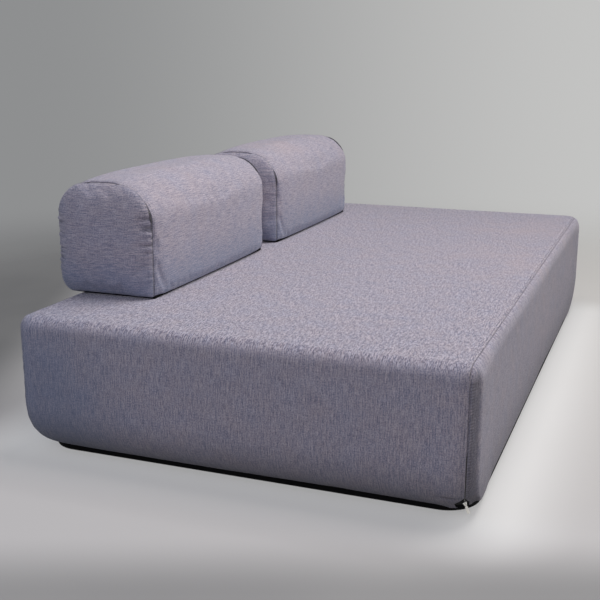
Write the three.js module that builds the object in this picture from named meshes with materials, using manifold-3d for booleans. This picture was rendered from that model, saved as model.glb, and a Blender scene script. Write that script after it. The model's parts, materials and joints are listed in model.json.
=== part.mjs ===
// Backless divan: an upholstered seat block with two loose weighted bolsters on its rear edge.
// Millimetres, +Z up, X along the length, the rear long side at +Y.
// The origin is on the floor under the middle of the whole outline, bolsters included.

import * as THREE from "three";
import { mergeVertices } from "three/addons/utils/BufferGeometryUtils.js";
import Module from "manifold-3d";

const wasm = await Module();
wasm.setup();

// Seat block, outside
const seatLength = 2220;
const seatDepth = 1235;
const seatHeight = 400;
const seatTopRadius = 36;
const seatCornerRadius = 56;
const seatFootCornerRadius = 95;
const seatCrown = 3;
const seatCrownReach = 180;
const seatSideBulge = 6;
const hemHeight = 14;
const tuckHeight = 140;
const endTuck = 107;
const sideTuck = 11;
const seamInset = 17;

// Bolsters, outside
const bolsterLength = 760;
const bolsterDepth = 304;
const bolsterHeight = 316;
const bolsterTopRadius = 111;
const bolsterFrontFootRadius = 8;
const bolsterRearFootRadius = 45;
const bolsterCrown = 3;
const bolsterPuff = 25;
const bolsterPuffReach = 120;
const bolsterGap = 136;
const bolsterRearOverhang = 27;

// Cloth, wadding and fits
const coverThickness = 2;
const seatWaddingThickness = 12;
const bolsterWaddingThickness = 10;
const waddingFoot = 26;
const hemTurn = 12;
const clearance = 0.3;
const seamGap = 0.4;
const overrun = 5;

// Timber frame, webbing and underside
const railThickness = 27;
const railHeight = 200;
const crossRailHeight = 150;
const cornerBlockWidth = 55;
const cornerBlockHeight = 160;
const frameCornerAngle = Math.PI / 6;
const undersidePanelThickness = 7;
const undersidePanelInset = 3;
const webbingThickness = 2;
const webbingWidth = 60;
const webbingRailCover = 20;
const crosswiseStraps = 9;
const lengthwiseStraps = 3;
const crossRailShares = [-0.5, 0, 0.5];

// Floor glides and their screws
const glideDiameter = 50;
const glideEndInset = 45;
const glidePlaceShares = [-1, 0, 1];
const screwHeadDiameter = 9;
const screwHeadHeight = 2.5;
const screwHeadRecess = 1;
const screwShaftDiameter = 4.5;
const screwLength = 34;
const screwTipLength = 3;

// Zip in the front left corner seam
const notchHeight = 24;
const notchHalfWidth = 22;
const coilWidth = 3;
const coilThickness = 1.4;
const seamStrayDepth = 4;
const zipTopBelowSeat = 60;
const sliderLength = 10;
const sliderWidth = 9;
const sliderBodyHeight = 2.6;
const sliderEarThickness = 1.2;
const sliderEarLength = 3.2;
const pullerPinDiameter = 1.6;
const pullerEyeClearance = 0.4;
const pullerEyeWall = 1;
const pullerNeckWidth = 3.6;
const pullerNeckLength = 5;
const pullerWidth = 7;
const pullerThickness = 1.4;
const pullerLength = 24;

// Bolster base
const bolsterUndersideThickness = 5.4;
const bolsterUndersideInset = 6;
const bolsterHemTurn = 15;
const bolsterBoardThickness = 18;
const weightPlateLength = 520;
const weightPlateDepth = 185;
const weightPlateThickness = 8;

// How finely the curved forms are divided
const cornerSteps = 4;
const longEdgeSteps = 6;
const shortEdgeSteps = 4;
const tuckSteps = 6;
const topRoundSteps = 4;
const crownRingShares = [0.5, 1];
const profileTopSteps = 5;
const profileRearFootSteps = 3;
const profileFrontFootSteps = 2;
const bolsterStationShares = [-1, -0.5, 0, 0.5, 1];
const puffSteps = 3;
const outlineSteps = 8;
const screwSides = 12;
const glideSides = 24;
const weldDistance = 1e-3;

// Sizes that follow from the ones above
const halfLength = seatLength / 2;
const halfDepth = seatDepth / 2 - seatSideBulge;
const seatEdgeHeight = seatHeight - seatCrown;
const tuckTop = hemHeight + tuckHeight;
const cornerGrowth = (seatFootCornerRadius - seatCornerRadius) / endTuck;
const seamSine = (seatCornerRadius - seamInset) / seatCornerRadius;
const seamCosine = Math.sqrt(1 - seamSine ** 2);
const footHalfLength = halfLength - endTuck;
const footHalfDepth = halfDepth - sideTuck;

// The corner seam keeps its place on the corner round, so it runs in one upright plane that is
// turned inwards from the length, and in that plane the tuck is a true circle.
const seamRunAlong = endTuck * (1 + (1 - seamCosine) * cornerGrowth);
const seamRunAcross = sideTuck + (1 - seamSine) * cornerGrowth * endTuck;
const seamRun = Math.hypot(seamRunAlong, seamRunAcross);
const seamRadius = (tuckHeight ** 2 + seamRun ** 2) / (2 * seamRun);
const seamAngle = Math.asin(tuckHeight / seamRadius);
const seamTurn = Math.atan2(seamRunAcross, seamRunAlong);
const seamSkew = Math.asin(seamSine) - seamTurn;
const seamLineX = -halfLength + seatCornerRadius * (1 - seamCosine);
const seamLineY = -halfDepth + seamInset;

const frameCornerReach = seatFootCornerRadius - hemTurn - clearance;
const frameHalfLength =
  footHalfLength - seatFootCornerRadius + frameCornerReach * Math.cos(frameCornerAngle);
const frameHalfDepth =
  footHalfDepth - seatFootCornerRadius + frameCornerReach * Math.sin(frameCornerAngle);
const railTop = hemHeight + railHeight;
const webbingTop = railTop + clearance + webbingThickness;
const seatFoamBottom = webbingTop + clearance;
const undersideTop = hemHeight - clearance;
const undersideBottom = undersideTop - undersidePanelThickness;
const glideTop = undersideBottom - clearance;
const seatFoamOffset = coverThickness + clearance + seatWaddingThickness + clearance;
const bolsterFoamOffset = coverThickness + clearance + bolsterWaddingThickness + clearance;
const bolsterHalfLength = bolsterLength / 2;
const bolsterBottom = seatHeight + clearance + bolsterUndersideThickness + clearance;
const bolsterFront = seatDepth / 2 + bolsterRearOverhang - bolsterDepth;

// Cloths, foams, timbers and metals
const finishes = {
  melange: { color: 0x8d8a9c, roughness: 0.95, metalness: 0 },
  foam: { color: 0xd8d2bd, roughness: 0.95, metalness: 0 },
  wadding: { color: 0xe9e9e6, roughness: 1, metalness: 0 },
  timber: { color: 0xb98f5e, roughness: 0.65, metalness: 0 },
  webbing: { color: 0x2c2c30, roughness: 0.9, metalness: 0 },
  blackCloth: { color: 0x101012, roughness: 0.95, metalness: 0 },
  blackPlastic: { color: 0x17171a, roughness: 0.6, metalness: 0 },
  steel: { color: 0xb9bcc0, roughness: 0.35, metalness: 1 },
};

// Solids and meshes

function toSolid(geometry) {
  const loose = geometry.index ? geometry.toNonIndexed() : geometry;
  const bare = new THREE.BufferGeometry();
  bare.setAttribute("position", loose.getAttribute("position").clone());
  const merged = mergeVertices(bare, weldDistance);
  const vertProperties = merged.getAttribute("position").array;
  const triVerts = new Uint32Array(merged.index.array);
  return new wasm.Manifold(new wasm.Mesh({ numProp: 3, vertProperties, triVerts }));
}

function toGeometry(solid) {
  const mesh = solid.getMesh();
  const geometry = new THREE.BufferGeometry();
  geometry.setAttribute("position", new THREE.BufferAttribute(mesh.vertProperties, mesh.numProp));
  geometry.setIndex(new THREE.BufferAttribute(mesh.triVerts, 1));
  geometry.computeVertexNormals();
  return geometry;
}

function piece(name, finish, solid) {
  const mesh = new THREE.Mesh(toGeometry(solid), new THREE.MeshStandardMaterial(finishes[finish]));
  mesh.name = name;
  return mesh;
}

function block(low, high) {
  const geometry = new THREE.BoxGeometry(high[0] - low[0], high[1] - low[1], high[2] - low[2]);
  geometry.translate((low[0] + high[0]) / 2, (low[1] + high[1]) / 2, (low[2] + high[2]) / 2);
  return toSolid(geometry);
}

// A block that is centred in plan.
function slab(halfX, halfY, bottom, top) {
  return block([-halfX, -halfY, bottom], [halfX, halfY, top]);
}

function roundedSlab(halfX, halfY, radius, bottom, top) {
  const outline = new THREE.Shape();
  outline.absarc(halfX - radius, halfY - radius, radius, 0, Math.PI / 2);
  outline.absarc(-halfX + radius, halfY - radius, radius, Math.PI / 2, Math.PI);
  outline.absarc(-halfX + radius, -halfY + radius, radius, Math.PI, 1.5 * Math.PI);
  outline.absarc(halfX - radius, -halfY + radius, radius, 1.5 * Math.PI, 2 * Math.PI);
  return prism(outline, bottom, top, outlineSteps);
}

function prism(outline, bottom, top, curveSegments = outlineSteps) {
  const settings = { depth: top - bottom, bevelEnabled: false, curveSegments };
  const geometry = new THREE.ExtrudeGeometry(outline, settings);
  geometry.translate(0, 0, bottom);
  return toSolid(geometry);
}

// A round piece on the Z axis, from radius and height pairs that start and end on the axis.
function turned(profile, sides) {
  const points = profile.map(([radius, height]) => new THREE.Vector2(radius, height));
  const geometry = new THREE.LatheGeometry(points, sides);
  geometry.rotateX(Math.PI / 2);
  return toSolid(geometry);
}

// One closed skin over a stack of rings with equal counts, each end closed to a point.
function skinOver(rings, firstPoint, lastPoint) {
  const count = rings[0].length;
  const points = [...rings.flat(), firstPoint, lastPoint];
  const firstIndex = points.length - 2;
  const lastIndex = points.length - 1;
  const lastRing = (rings.length - 1) * count;
  const index = [];
  for (let side = 0; side < count; side++) {
    const next = (side + 1) % count;
    index.push(firstIndex, next, side);
    index.push(lastIndex, lastRing + side, lastRing + next);
    for (let start = 0; start < lastRing; start += count) {
      index.push(start + side, start + next, start + count + next);
      index.push(start + side, start + count + next, start + count + side);
    }
  }
  const geometry = new THREE.BufferGeometry().setFromPoints(points);
  geometry.setIndex(index);
  return toSolid(geometry);
}

// Seat form: every cloth, wadding and foam layer is this form, set in by its own depth

// One ring of the seat form. The long sides bulge most in the middle of their length.
function seatRing({ end, side, radius, z, bulge }) {
  const halfX = halfLength - end;
  const halfY = halfDepth - side;
  const ring = [];
  const addPoint = (x, y) => {
    const swell = bulge * (1 - (x / halfLength) ** 2) * Math.sign(y);
    ring.push(new THREE.Vector3(x, y + swell, z));
  };
  const corners = [
    [1, 1],
    [-1, 1],
    [-1, -1],
    [1, -1],
  ];
  corners.forEach(([signX, signY], corner) => {
    const start = (corner * Math.PI) / 2;
    for (let step = 0; step <= cornerSteps; step++) {
      const angle = start + (step / cornerSteps) * (Math.PI / 2);
      const x = signX * (halfX - radius) + radius * Math.cos(angle);
      const y = signY * (halfY - radius) + radius * Math.sin(angle);
      addPoint(x, y);
    }
    const alongLength = corner % 2 === 0;
    const steps = alongLength ? longEdgeSteps : shortEdgeSteps;
    for (let step = 1; step < steps; step++) {
      const slide = 1 - (2 * step) / steps;
      if (alongLength) addPoint(signX * (halfX - radius) * slide, signY * halfY);
      else addPoint(signX * halfX, signY * (halfY - radius) * slide);
    }
  });
  return ring;
}

// The tucked foot, the upright sides, the top round and the crowned seat, from the hem upwards.
function seatForm(offset) {
  const bulgeAt = (height) =>
    seatSideBulge * Math.sin((Math.PI * (height - hemHeight)) / (seatEdgeHeight - hemHeight));
  const rings = [];
  for (let step = 0; step <= tuckSteps; step++) {
    const angle = seamAngle * (1 - step / tuckSteps);
    const share = (seamRadius * (1 - Math.cos(angle))) / seamRun;
    const height = tuckTop - seamRadius * Math.sin(angle);
    const endSlope = Math.atan((Math.tan(angle) * endTuck) / seamRun);
    const sideSlope = Math.atan((Math.tan(angle) * sideTuck) / seamRun);
    const endShift = offset * Math.cos(endSlope);
    const sideShift = offset * Math.cos(sideSlope);
    const cornerRadius = seatCornerRadius + cornerGrowth * endTuck * share;
    rings.push(
      seatRing({
        end: endTuck * share + endShift,
        side: sideTuck * share + sideShift,
        radius: cornerRadius - (endShift + sideShift) / 2,
        z: height + offset * Math.sin(endSlope),
        bulge: bulgeAt(height),
      }),
    );
  }
  const middle = (hemHeight + seatEdgeHeight) / 2;
  const uprightRadius = seatCornerRadius - offset;
  rings.push(
    seatRing({
      end: offset,
      side: offset,
      radius: uprightRadius,
      z: middle,
      bulge: bulgeAt(middle),
    }),
  );
  for (let step = 0; step <= topRoundSteps; step++) {
    const angle = ((step / topRoundSteps) * Math.PI) / 2;
    const shift = seatTopRadius * (1 - Math.cos(angle)) + offset * Math.cos(angle);
    const height = seatEdgeHeight - seatTopRadius * (1 - Math.sin(angle));
    rings.push(
      seatRing({
        end: shift,
        side: shift,
        radius: seatCornerRadius - shift,
        z: height - offset * Math.sin(angle),
        bulge: bulgeAt(height),
      }),
    );
  }
  for (const share of crownRingShares) {
    const shift = seatTopRadius + share * seatCrownReach;
    rings.push(
      seatRing({
        end: shift,
        side: shift,
        radius: seatCornerRadius - seatTopRadius,
        z: seatEdgeHeight + seatCrown * (1 - (1 - share) ** 2) - offset,
        bulge: 0,
      }),
    );
  }
  const foot = new THREE.Vector3(0, 0, rings[0][0].z);
  const crown = new THREE.Vector3(0, 0, seatHeight - offset);
  return skinOver(rings, foot, crown);
}

// The upright plane of the front left corner seam: X runs outwards from the tuck's centre,
// Y is up and Z crosses the seam.
function seamPlane() {
  const outwards = new THREE.Vector3(-Math.cos(seamTurn), -Math.sin(seamTurn), 0);
  const up = new THREE.Vector3(0, 0, 1);
  const across = new THREE.Vector3().crossVectors(outwards, up);
  const matrix = new THREE.Matrix4().makeBasis(outwards, up, across);
  const centreX = seamLineX + seamRadius * Math.cos(seamTurn);
  const centreY = seamLineY + seamRadius * Math.sin(seamTurn);
  return matrix.setPosition(centreX, centreY, 0);
}

// A strip that follows the corner seam between two depths from its tuck's centre.
function seamStrip(innerRadius, outerRadius, width, lowAngle, top) {
  const outline = new THREE.Shape();
  outline.absarc(0, tuckTop, outerRadius, -lowAngle, 0);
  outline.lineTo(outerRadius, top);
  outline.lineTo(innerRadius, top);
  outline.absarc(0, tuckTop, innerRadius, 0, -lowAngle, true);
  return prism(outline, -width / 2, width / 2).transform(seamPlane().elements);
}

// The raised V in the cover's hem, below the zip.
function hemNotch() {
  const outline = new THREE.Shape();
  outline.moveTo(0, hemHeight + notchHeight);
  outline.lineTo(-notchHalfWidth, hemHeight);
  outline.lineTo(-notchHalfWidth, hemHeight - overrun);
  outline.lineTo(notchHalfWidth, hemHeight - overrun);
  outline.lineTo(notchHalfWidth, hemHeight);
  const turn = new THREE.Matrix4().makeRotationY(Math.PI / 2);
  const place = seamPlane().multiply(turn);
  return prism(outline, 0, seamRadius + overrun).transform(place.elements);
}

// Everything in front of a long edge's seam, less half of the seam gap. Below the tuck the
// dividing line turns inwards at both ends with the corner seams.
function frontOfSeam(gap) {
  const far = seatLength;
  const edge = seamLineY - gap / 2;
  const upper = block([-far, -far, tuckTop], [far, edge, seatHeight + overrun]);
  const outline = new THREE.Shape();
  const reach = (far + seamLineX) * Math.tan(seamTurn);
  outline.moveTo(-far, -far);
  outline.lineTo(far, -far);
  outline.lineTo(far, edge - reach);
  outline.lineTo(-seamLineX - seamRunAlong, edge + seamRunAcross);
  outline.lineTo(seamLineX + seamRunAlong, edge + seamRunAcross);
  outline.lineTo(-far, edge - reach);
  return upper.add(prism(outline, 0, tuckTop));
}

function acrossDepth(solid) {
  return solid.mirror([0, 1, 0]);
}

function seatCovers() {
  const hemOpening = roundedSlab(
    footHalfLength - hemTurn,
    footHalfDepth - hemTurn,
    seatFootCornerRadius - hemTurn,
    0,
    hemHeight + coverThickness + overrun,
  );
  const zipTop = seatHeight - zipTopBelowSeat + clearance;
  const slotReach = coverThickness + seamStrayDepth;
  const slot = seamStrip(
    seamRadius - slotReach,
    seamRadius + slotReach,
    coilWidth + 2 * clearance,
    seamAngle,
    zipTop,
  );
  const shell = seatForm(0)
    .subtract(seatForm(coverThickness))
    .subtract(hemOpening)
    .subtract(hemNotch())
    .subtract(slot);
  const front = frontOfSeam(seamGap);
  const sides = frontOfSeam(-seamGap);
  return [
    piece("seat_cover_wrap", "melange", shell.subtract(sides).subtract(acrossDepth(sides))),
    piece("seat_cover_front_panel", "melange", shell.intersect(front)),
    piece("seat_cover_rear_panel", "melange", shell.intersect(acrossDepth(front))),
  ];
}

// Seat fillings

function seatFillings() {
  const above = (bottom) => slab(seatLength, seatDepth, bottom, 2 * seatHeight);
  const wadding = seatForm(coverThickness + clearance)
    .subtract(seatForm(seatFoamOffset - clearance))
    .intersect(above(hemHeight + waddingFoot));
  const foam = seatForm(seatFoamOffset);
  const lowerBottom = hemHeight + coverThickness + clearance;
  const lower = foam
    .add(foamFoot(lowerBottom))
    .intersect(slab(seatLength, seatDepth, lowerBottom, webbingTop));
  const endStart = frameHalfLength + clearance;
  const sideStart = frameHalfDepth + clearance;
  const sideHalf = frameHalfLength - clearance;
  const endPart = (low, high) =>
    lower.intersect(block([low, -seatDepth, 0], [high, seatDepth, seatHeight]));
  const sidePart = (low, high) =>
    lower.intersect(block([-sideHalf, low, 0], [sideHalf, high, seatHeight]));
  return [
    piece("seat_wadding", "wadding", wadding),
    piece("seat_foam", "foam", foam.intersect(above(seatFoamBottom))),
    piece("end_foam_left", "foam", endPart(-seatLength, -endStart)),
    piece("end_foam_right", "foam", endPart(endStart, seatLength)),
    piece("side_foam_front", "foam", sidePart(-seatDepth, -sideStart)),
    piece("side_foam_rear", "foam", sidePart(sideStart, seatDepth)),
  ];
}

// The foam goes straight down from its lowest ring to the turned hem.
function foamFoot(bottom) {
  const shift = seatFoamOffset + clearance;
  return roundedSlab(
    footHalfLength - hemTurn - clearance,
    footHalfDepth - shift,
    seatFootCornerRadius - shift,
    bottom,
    hemHeight + shift + overrun,
  );
}

// Timber frame, webbing, underside and glides

function screwEnvelope(grow, headBottom) {
  const headTop = screwHeadRecess + screwHeadHeight + grow;
  const headRadius = screwHeadDiameter / 2 + grow;
  const shaftRadius = screwShaftDiameter / 2 + grow;
  const tip = screwLength + grow;
  const profile = [
    [0, headBottom],
    [headRadius, headBottom],
    [headRadius, headTop],
    [shaftRadius, headTop],
    [shaftRadius, tip - screwTipLength],
    [0, tip],
  ];
  return turned(profile, screwSides);
}

function glidePlaces() {
  const across = frameHalfDepth - railThickness / 2;
  const rows = [
    { row: "front", y: -across },
    { row: "rear", y: across },
  ];
  const columns = ["left", "middle", "right"];
  return rows.flatMap(({ row, y }) =>
    glidePlaceShares.map((share, index) => ({
      name: row + "_" + columns[index],
      x: share * (frameHalfLength - glideEndInset),
      y,
    })),
  );
}

function timberFrame() {
  const holes = glidePlaces().map(({ x, y }) =>
    screwEnvelope(clearance, -overrun).translate([x, y, 0]),
  );
  const bored = (solid) => holes.reduce((left, hole) => left.subtract(hole), solid);
  const innerHalfDepth = frameHalfDepth - railThickness;
  const innerHalfLength = frameHalfLength - railThickness;
  const longRail = bored(
    block([-frameHalfLength, innerHalfDepth, hemHeight], [frameHalfLength, frameHalfDepth, railTop]),
  );
  const endRail = block(
    [innerHalfLength, -innerHalfDepth + clearance, hemHeight],
    [frameHalfLength, innerHalfDepth - clearance, railTop],
  );
  const pieces = [
    piece("front_rail", "timber", acrossDepth(longRail)),
    piece("rear_rail", "timber", longRail),
    piece("left_end_rail", "timber", endRail.mirror([1, 0, 0])),
    piece("right_end_rail", "timber", endRail),
  ];
  const crossRail = slab(
    railThickness / 2,
    innerHalfDepth - clearance,
    hemHeight,
    hemHeight + crossRailHeight,
  );
  ["left", "middle", "right"].forEach((side, index) => {
    const x = crossRailShares[index] * frameHalfLength;
    pieces.push(piece(side + "_cross_rail", "timber", crossRail.translate([x, 0, 0])));
  });
  const cornerX = innerHalfLength - clearance;
  const cornerY = innerHalfDepth - clearance;
  const cornerBlock = block(
    [cornerX - cornerBlockWidth, cornerY - cornerBlockWidth, hemHeight],
    [cornerX, cornerY, hemHeight + cornerBlockHeight],
  );
  const rearRight = piece("corner_block_rear_right", "timber", cornerBlock);
  const rearLeft = piece("corner_block_rear_left", "timber", cornerBlock.mirror([1, 0, 0]));
  const frontRight = piece("corner_block_front_right", "timber", acrossDepth(cornerBlock));
  const frontLeft = piece(
    "corner_block_front_left",
    "timber",
    acrossDepth(cornerBlock).mirror([1, 0, 0]),
  );
  return [...pieces, rearRight, rearLeft, frontRight, frontLeft];
}

// Crossing straps, stapled on the rails all round and caught together where they cross.
function webbingMat() {
  const bottom = railTop + clearance;
  const reachX = frameHalfLength - railThickness + webbingRailCover;
  const reachY = frameHalfDepth - railThickness + webbingRailCover;
  let mat = null;
  const addStrap = (strap) => {
    mat = mat ? mat.add(strap) : strap;
  };
  const strapPlace = (index, count, reach) => ((2 * index + 1) / count - 1) * reach;
  for (let index = 0; index < crosswiseStraps; index++) {
    const strap = slab(webbingWidth / 2, reachY, bottom, webbingTop);
    addStrap(strap.translate([strapPlace(index, crosswiseStraps, reachX), 0, 0]));
  }
  for (let index = 0; index < lengthwiseStraps; index++) {
    const strap = slab(reachX, webbingWidth / 2, bottom, webbingTop);
    addStrap(strap.translate([0, strapPlace(index, lengthwiseStraps, reachY), 0]));
  }
  return piece("webbing_mat", "webbing", mat);
}

function undersideAndGlides() {
  const places = glidePlaces();
  let panel = roundedSlab(
    footHalfLength - undersidePanelInset,
    footHalfDepth - undersidePanelInset,
    seatFootCornerRadius - undersidePanelInset,
    undersideBottom,
    undersideTop,
  );
  const hole = screwEnvelope(clearance, -overrun);
  const glide = turned(
    [
      [0, 0],
      [glideDiameter / 2, 0],
      [glideDiameter / 2, glideTop],
      [0, glideTop],
    ],
    glideSides,
  ).subtract(hole);
  const screw = screwEnvelope(0, screwHeadRecess);
  const pieces = [];
  for (const { name, x, y } of places) {
    panel = panel.subtract(hole.translate([x, y, 0]));
    pieces.push(piece("glide_" + name, "blackPlastic", glide.translate([x, y, 0])));
    pieces.push(piece("glide_screw_" + name, "steel", screw.translate([x, y, 0])));
  }
  return [piece("underside_panel", "blackCloth", panel), ...pieces];
}

// Zip: the coil in the corner seam, and the slider with its hanging puller at the lower end

const sliderAngle = Math.asin(
  (tuckTop - hemHeight - notchHeight - sliderLength / 2) / seamRadius,
);
// The cloth faces further round the corner than the seam's plane, less so where it is tucked.
// The slider leans halfway between the two ends of its travel, and is lifted by what is left.
const restLean = Math.atan(Math.tan(seamSkew) * Math.cos(sliderAngle));
const sliderLean = (restLean + seamSkew) / 2;
const sliderLift = clearance + (sliderWidth / 2) * Math.tan(sliderLean - restLean);
const pinHeight = sliderLift + sliderBodyHeight + pullerEyeRadius() + pullerEyeClearance;

function pullerEyeRadius() {
  return pullerPinDiameter / 2 + pullerEyeClearance + pullerEyeWall;
}

// A cylinder along Y through the origin.
function crosswisePin(diameter, length) {
  return toSolid(new THREE.CylinderGeometry(diameter / 2, diameter / 2, length, screwSides));
}

function zipCoil() {
  const outer = seamRadius - clearance;
  const strip = seamStrip(
    outer - coilThickness,
    outer,
    coilWidth,
    sliderAngle,
    seatHeight - zipTopBelowSeat,
  );
  return piece("zip_coil", "blackPlastic", strip);
}

// X runs up along the seam, Y across it and Z away from the cloth.
function zipSlider() {
  const bodyTop = sliderLift + sliderBodyHeight;
  const earInner = pullerNeckWidth / 2 + pullerEyeClearance;
  const earOuter = earInner + sliderEarThickness;
  const body = block(
    [-sliderLength / 2, -sliderWidth / 2, sliderLift],
    [sliderLength / 2, sliderWidth / 2, bodyTop],
  );
  const ear = block(
    [-sliderEarLength / 2, earInner, sliderLift],
    [sliderEarLength / 2, earOuter, pinHeight + sliderEarLength / 2],
  );
  const pin = crosswisePin(pullerPinDiameter, 2 * earInner + sliderEarThickness);
  const solid = body
    .add(ear)
    .add(acrossDepth(ear))
    .add(pin.translate([0, 0, pinHeight]));
  return piece("zip_slider", "steel", solid);
}

// Hangs straight down from its eye, which is at the origin. X runs outwards and Y across.
function zipPuller() {
  const eye = crosswisePin(2 * pullerEyeRadius(), pullerNeckWidth);
  const bore = crosswisePin(pullerPinDiameter + 2 * pullerEyeClearance, 2 * pullerNeckWidth);
  const neck = slab(pullerThickness / 2, pullerNeckWidth / 2, -pullerNeckLength - pullerThickness, 0);
  const plate = slab(pullerThickness / 2, pullerWidth / 2, -pullerLength, -pullerNeckLength);
  return piece("zip_puller", "steel", eye.add(neck).subtract(bore).add(plate));
}

function zip() {
  const plane = seamPlane();
  const outwards = new THREE.Vector3();
  const up = new THREE.Vector3();
  const across = new THREE.Vector3();
  plane.extractBasis(outwards, up, across);
  const away = outwards
    .clone()
    .multiplyScalar(Math.cos(sliderAngle))
    .addScaledVector(up, -Math.sin(sliderAngle));
  const along = new THREE.Vector3().crossVectors(across, away);
  const sliderPlace = new THREE.Vector3()
    .setFromMatrixPosition(plane)
    .addScaledVector(up, tuckTop)
    .addScaledVector(away, seamRadius);
  away.applyAxisAngle(along, sliderLean);
  across.applyAxisAngle(along, sliderLean);

  const sliderGroup = new THREE.Group();
  sliderGroup.position.copy(sliderPlace);
  sliderGroup.quaternion.setFromRotationMatrix(new THREE.Matrix4().makeBasis(along, across, away));
  sliderGroup.add(zipSlider());

  // The puller turns on the slider's pin, and rests as low as the pin lets it hang.
  const pullerGroup = new THREE.Group();
  const pullerUp = up.clone().projectOnPlane(across).normalize();
  const pullerIn = new THREE.Vector3().crossVectors(across, pullerUp);
  const hanging = new THREE.Matrix4().makeBasis(pullerIn, across, pullerUp);
  pullerGroup.position.copy(sliderPlace).addScaledVector(away, pinHeight);
  pullerGroup.quaternion.setFromRotationMatrix(hanging);
  pullerGroup.add(zipPuller());
  return [zipCoil(), sliderGroup, pullerGroup];
}

// Bolster: X along its length from the middle, Y back from its front face, Z up from its hem

// The side view of a bolster, set in all round, from the front foot back and over the top.
function bolsterProfile(inset) {
  const depth = bolsterDepth - 2 * inset;
  const height = bolsterHeight - 2 * inset;
  const corners = [
    { y: 0, z: 0, radius: bolsterFrontFootRadius, steps: profileFrontFootSteps, start: 1 },
    { y: 1, z: 0, radius: bolsterRearFootRadius, steps: profileRearFootSteps, start: 1.5 },
    { y: 1, z: 1, radius: bolsterTopRadius, steps: profileTopSteps, start: 0 },
    { y: 0, z: 1, radius: bolsterTopRadius, steps: profileTopSteps, start: 0.5 },
  ];
  const smallest = bolsterFrontFootRadius / 2;
  const points = [];
  for (const corner of corners) {
    const radius = Math.max(corner.radius - inset, smallest);
    const centreY = inset + (corner.y ? depth - radius : radius);
    const centreZ = inset + (corner.z ? height - radius : radius);
    for (let step = 0; step <= corner.steps; step++) {
      const angle = (corner.start + step / corner.steps / 2) * Math.PI;
      const y = centreY + radius * Math.cos(angle);
      const z = centreZ + radius * Math.sin(angle);
      points.push({ y, z });
    }
  }
  return points;
}

// The profile at one place along the length: fullest in the middle, drawn in at the seams.
function bolsterRing(x, inset) {
  const fullness = 1 - Math.min(1, Math.abs(x) / bolsterHalfLength) ** 2;
  const depthScale = 1 - (2 * bolsterCrown * (1 - fullness)) / bolsterDepth;
  const heightScale = 1 - (bolsterCrown * (1 - fullness)) / bolsterHeight;
  return bolsterProfile(inset).map(({ y, z }) => {
    const drawnY = bolsterDepth / 2 + (y - bolsterDepth / 2) * depthScale;
    return new THREE.Vector3(x, drawnY, z * heightScale);
  });
}

function bolsterForm(offset) {
  const faceX = bolsterHalfLength - offset;
  const rings = bolsterStationShares.map((share) => bolsterRing(share * faceX, offset));
  for (let step = 1; step <= puffSteps; step++) {
    const angle = ((step / (puffSteps + 1)) * Math.PI) / 2;
    const x = faceX + bolsterPuff * Math.sin(angle);
    const inset = offset + bolsterPuffReach * (1 - Math.cos(angle));
    rings.push(bolsterRing(x, inset));
    rings.unshift(bolsterRing(-x, inset));
  }
  const tip = new THREE.Vector3(faceX + bolsterPuff, bolsterDepth / 2, bolsterHeight / 2);
  return skinOver(rings, tip.clone().setX(-tip.x), tip);
}

function bolster(side, outerEnd) {
  const flatRear = bolsterDepth - bolsterRearFootRadius;
  const openingHalf = bolsterHalfLength - bolsterHemTurn;
  const openingRear = flatRear - clearance;
  const opening = block(
    [-openingHalf, bolsterHemTurn, -overrun],
    [openingHalf, openingRear, coverThickness + overrun],
  );
  const boardBox = (grow) =>
    block(
      [-openingHalf + clearance - grow, bolsterHemTurn + clearance - grow, -grow],
      [openingHalf - clearance + grow, openingRear - clearance + grow, bolsterBoardThickness + grow],
    );
  const plateY = (bolsterHemTurn + openingRear) / 2;
  const plateBottom = bolsterBoardThickness + clearance;
  const plateBox = (grow) =>
    slab(
      weightPlateLength / 2 + grow,
      weightPlateDepth / 2 + grow,
      plateBottom - grow,
      plateBottom + weightPlateThickness + grow,
    ).translate([0, plateY, 0]);
  const shell = bolsterForm(0).subtract(bolsterForm(coverThickness)).subtract(opening);
  const between = (low, high) =>
    block([low, -bolsterDepth, -bolsterHeight], [high, 2 * bolsterDepth, 2 * bolsterHeight]);
  const seamLow = bolsterHalfLength - seamGap / 2;
  const seamHigh = bolsterHalfLength + seamGap / 2;
  const wadding = bolsterForm(coverThickness + clearance)
    .subtract(bolsterForm(bolsterFoamOffset - clearance))
    .subtract(boardBox(clearance));
  const foam = bolsterForm(bolsterFoamOffset)
    .subtract(boardBox(clearance))
    .subtract(plateBox(clearance));
  const underside = block(
    [-bolsterHalfLength + bolsterUndersideInset, bolsterUndersideInset, 0],
    [bolsterHalfLength - bolsterUndersideInset, flatRear, bolsterUndersideThickness],
  ).translate([0, 0, -bolsterUndersideThickness - clearance]);
  const leftEnd = outerEnd < 0 ? "outer" : "inner";
  const rightEnd = outerEnd < 0 ? "inner" : "outer";
  const name = "bolster_" + side;
  const group = new THREE.Group();
  group.add(
    piece(name + "_cover_wrap", "melange", shell.intersect(between(-seamLow, seamLow))),
    piece(name + "_" + leftEnd + "_end_panel", "melange", shell.intersect(between(-seatLength, -seamHigh))),
    piece(name + "_" + rightEnd + "_end_panel", "melange", shell.intersect(between(seamHigh, seatLength))),
    piece(name + "_wadding", "wadding", wadding),
    piece(name + "_foam_core", "foam", foam),
    piece(name + "_base_board", "timber", boardBox(0)),
    piece(name + "_weight_plate", "steel", plateBox(0)),
    piece(name + "_underside", "blackCloth", underside),
  );
  group.position.set(outerEnd * (bolsterHalfLength + bolsterGap / 2), bolsterFront, bolsterBottom);
  return group;
}

// The whole divan

const seat = new THREE.Group();
seat.add(
  ...seatCovers(),
  ...seatFillings(),
  ...timberFrame(),
  webbingMat(),
  ...undersideAndGlides(),
  ...zip(),
);

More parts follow.
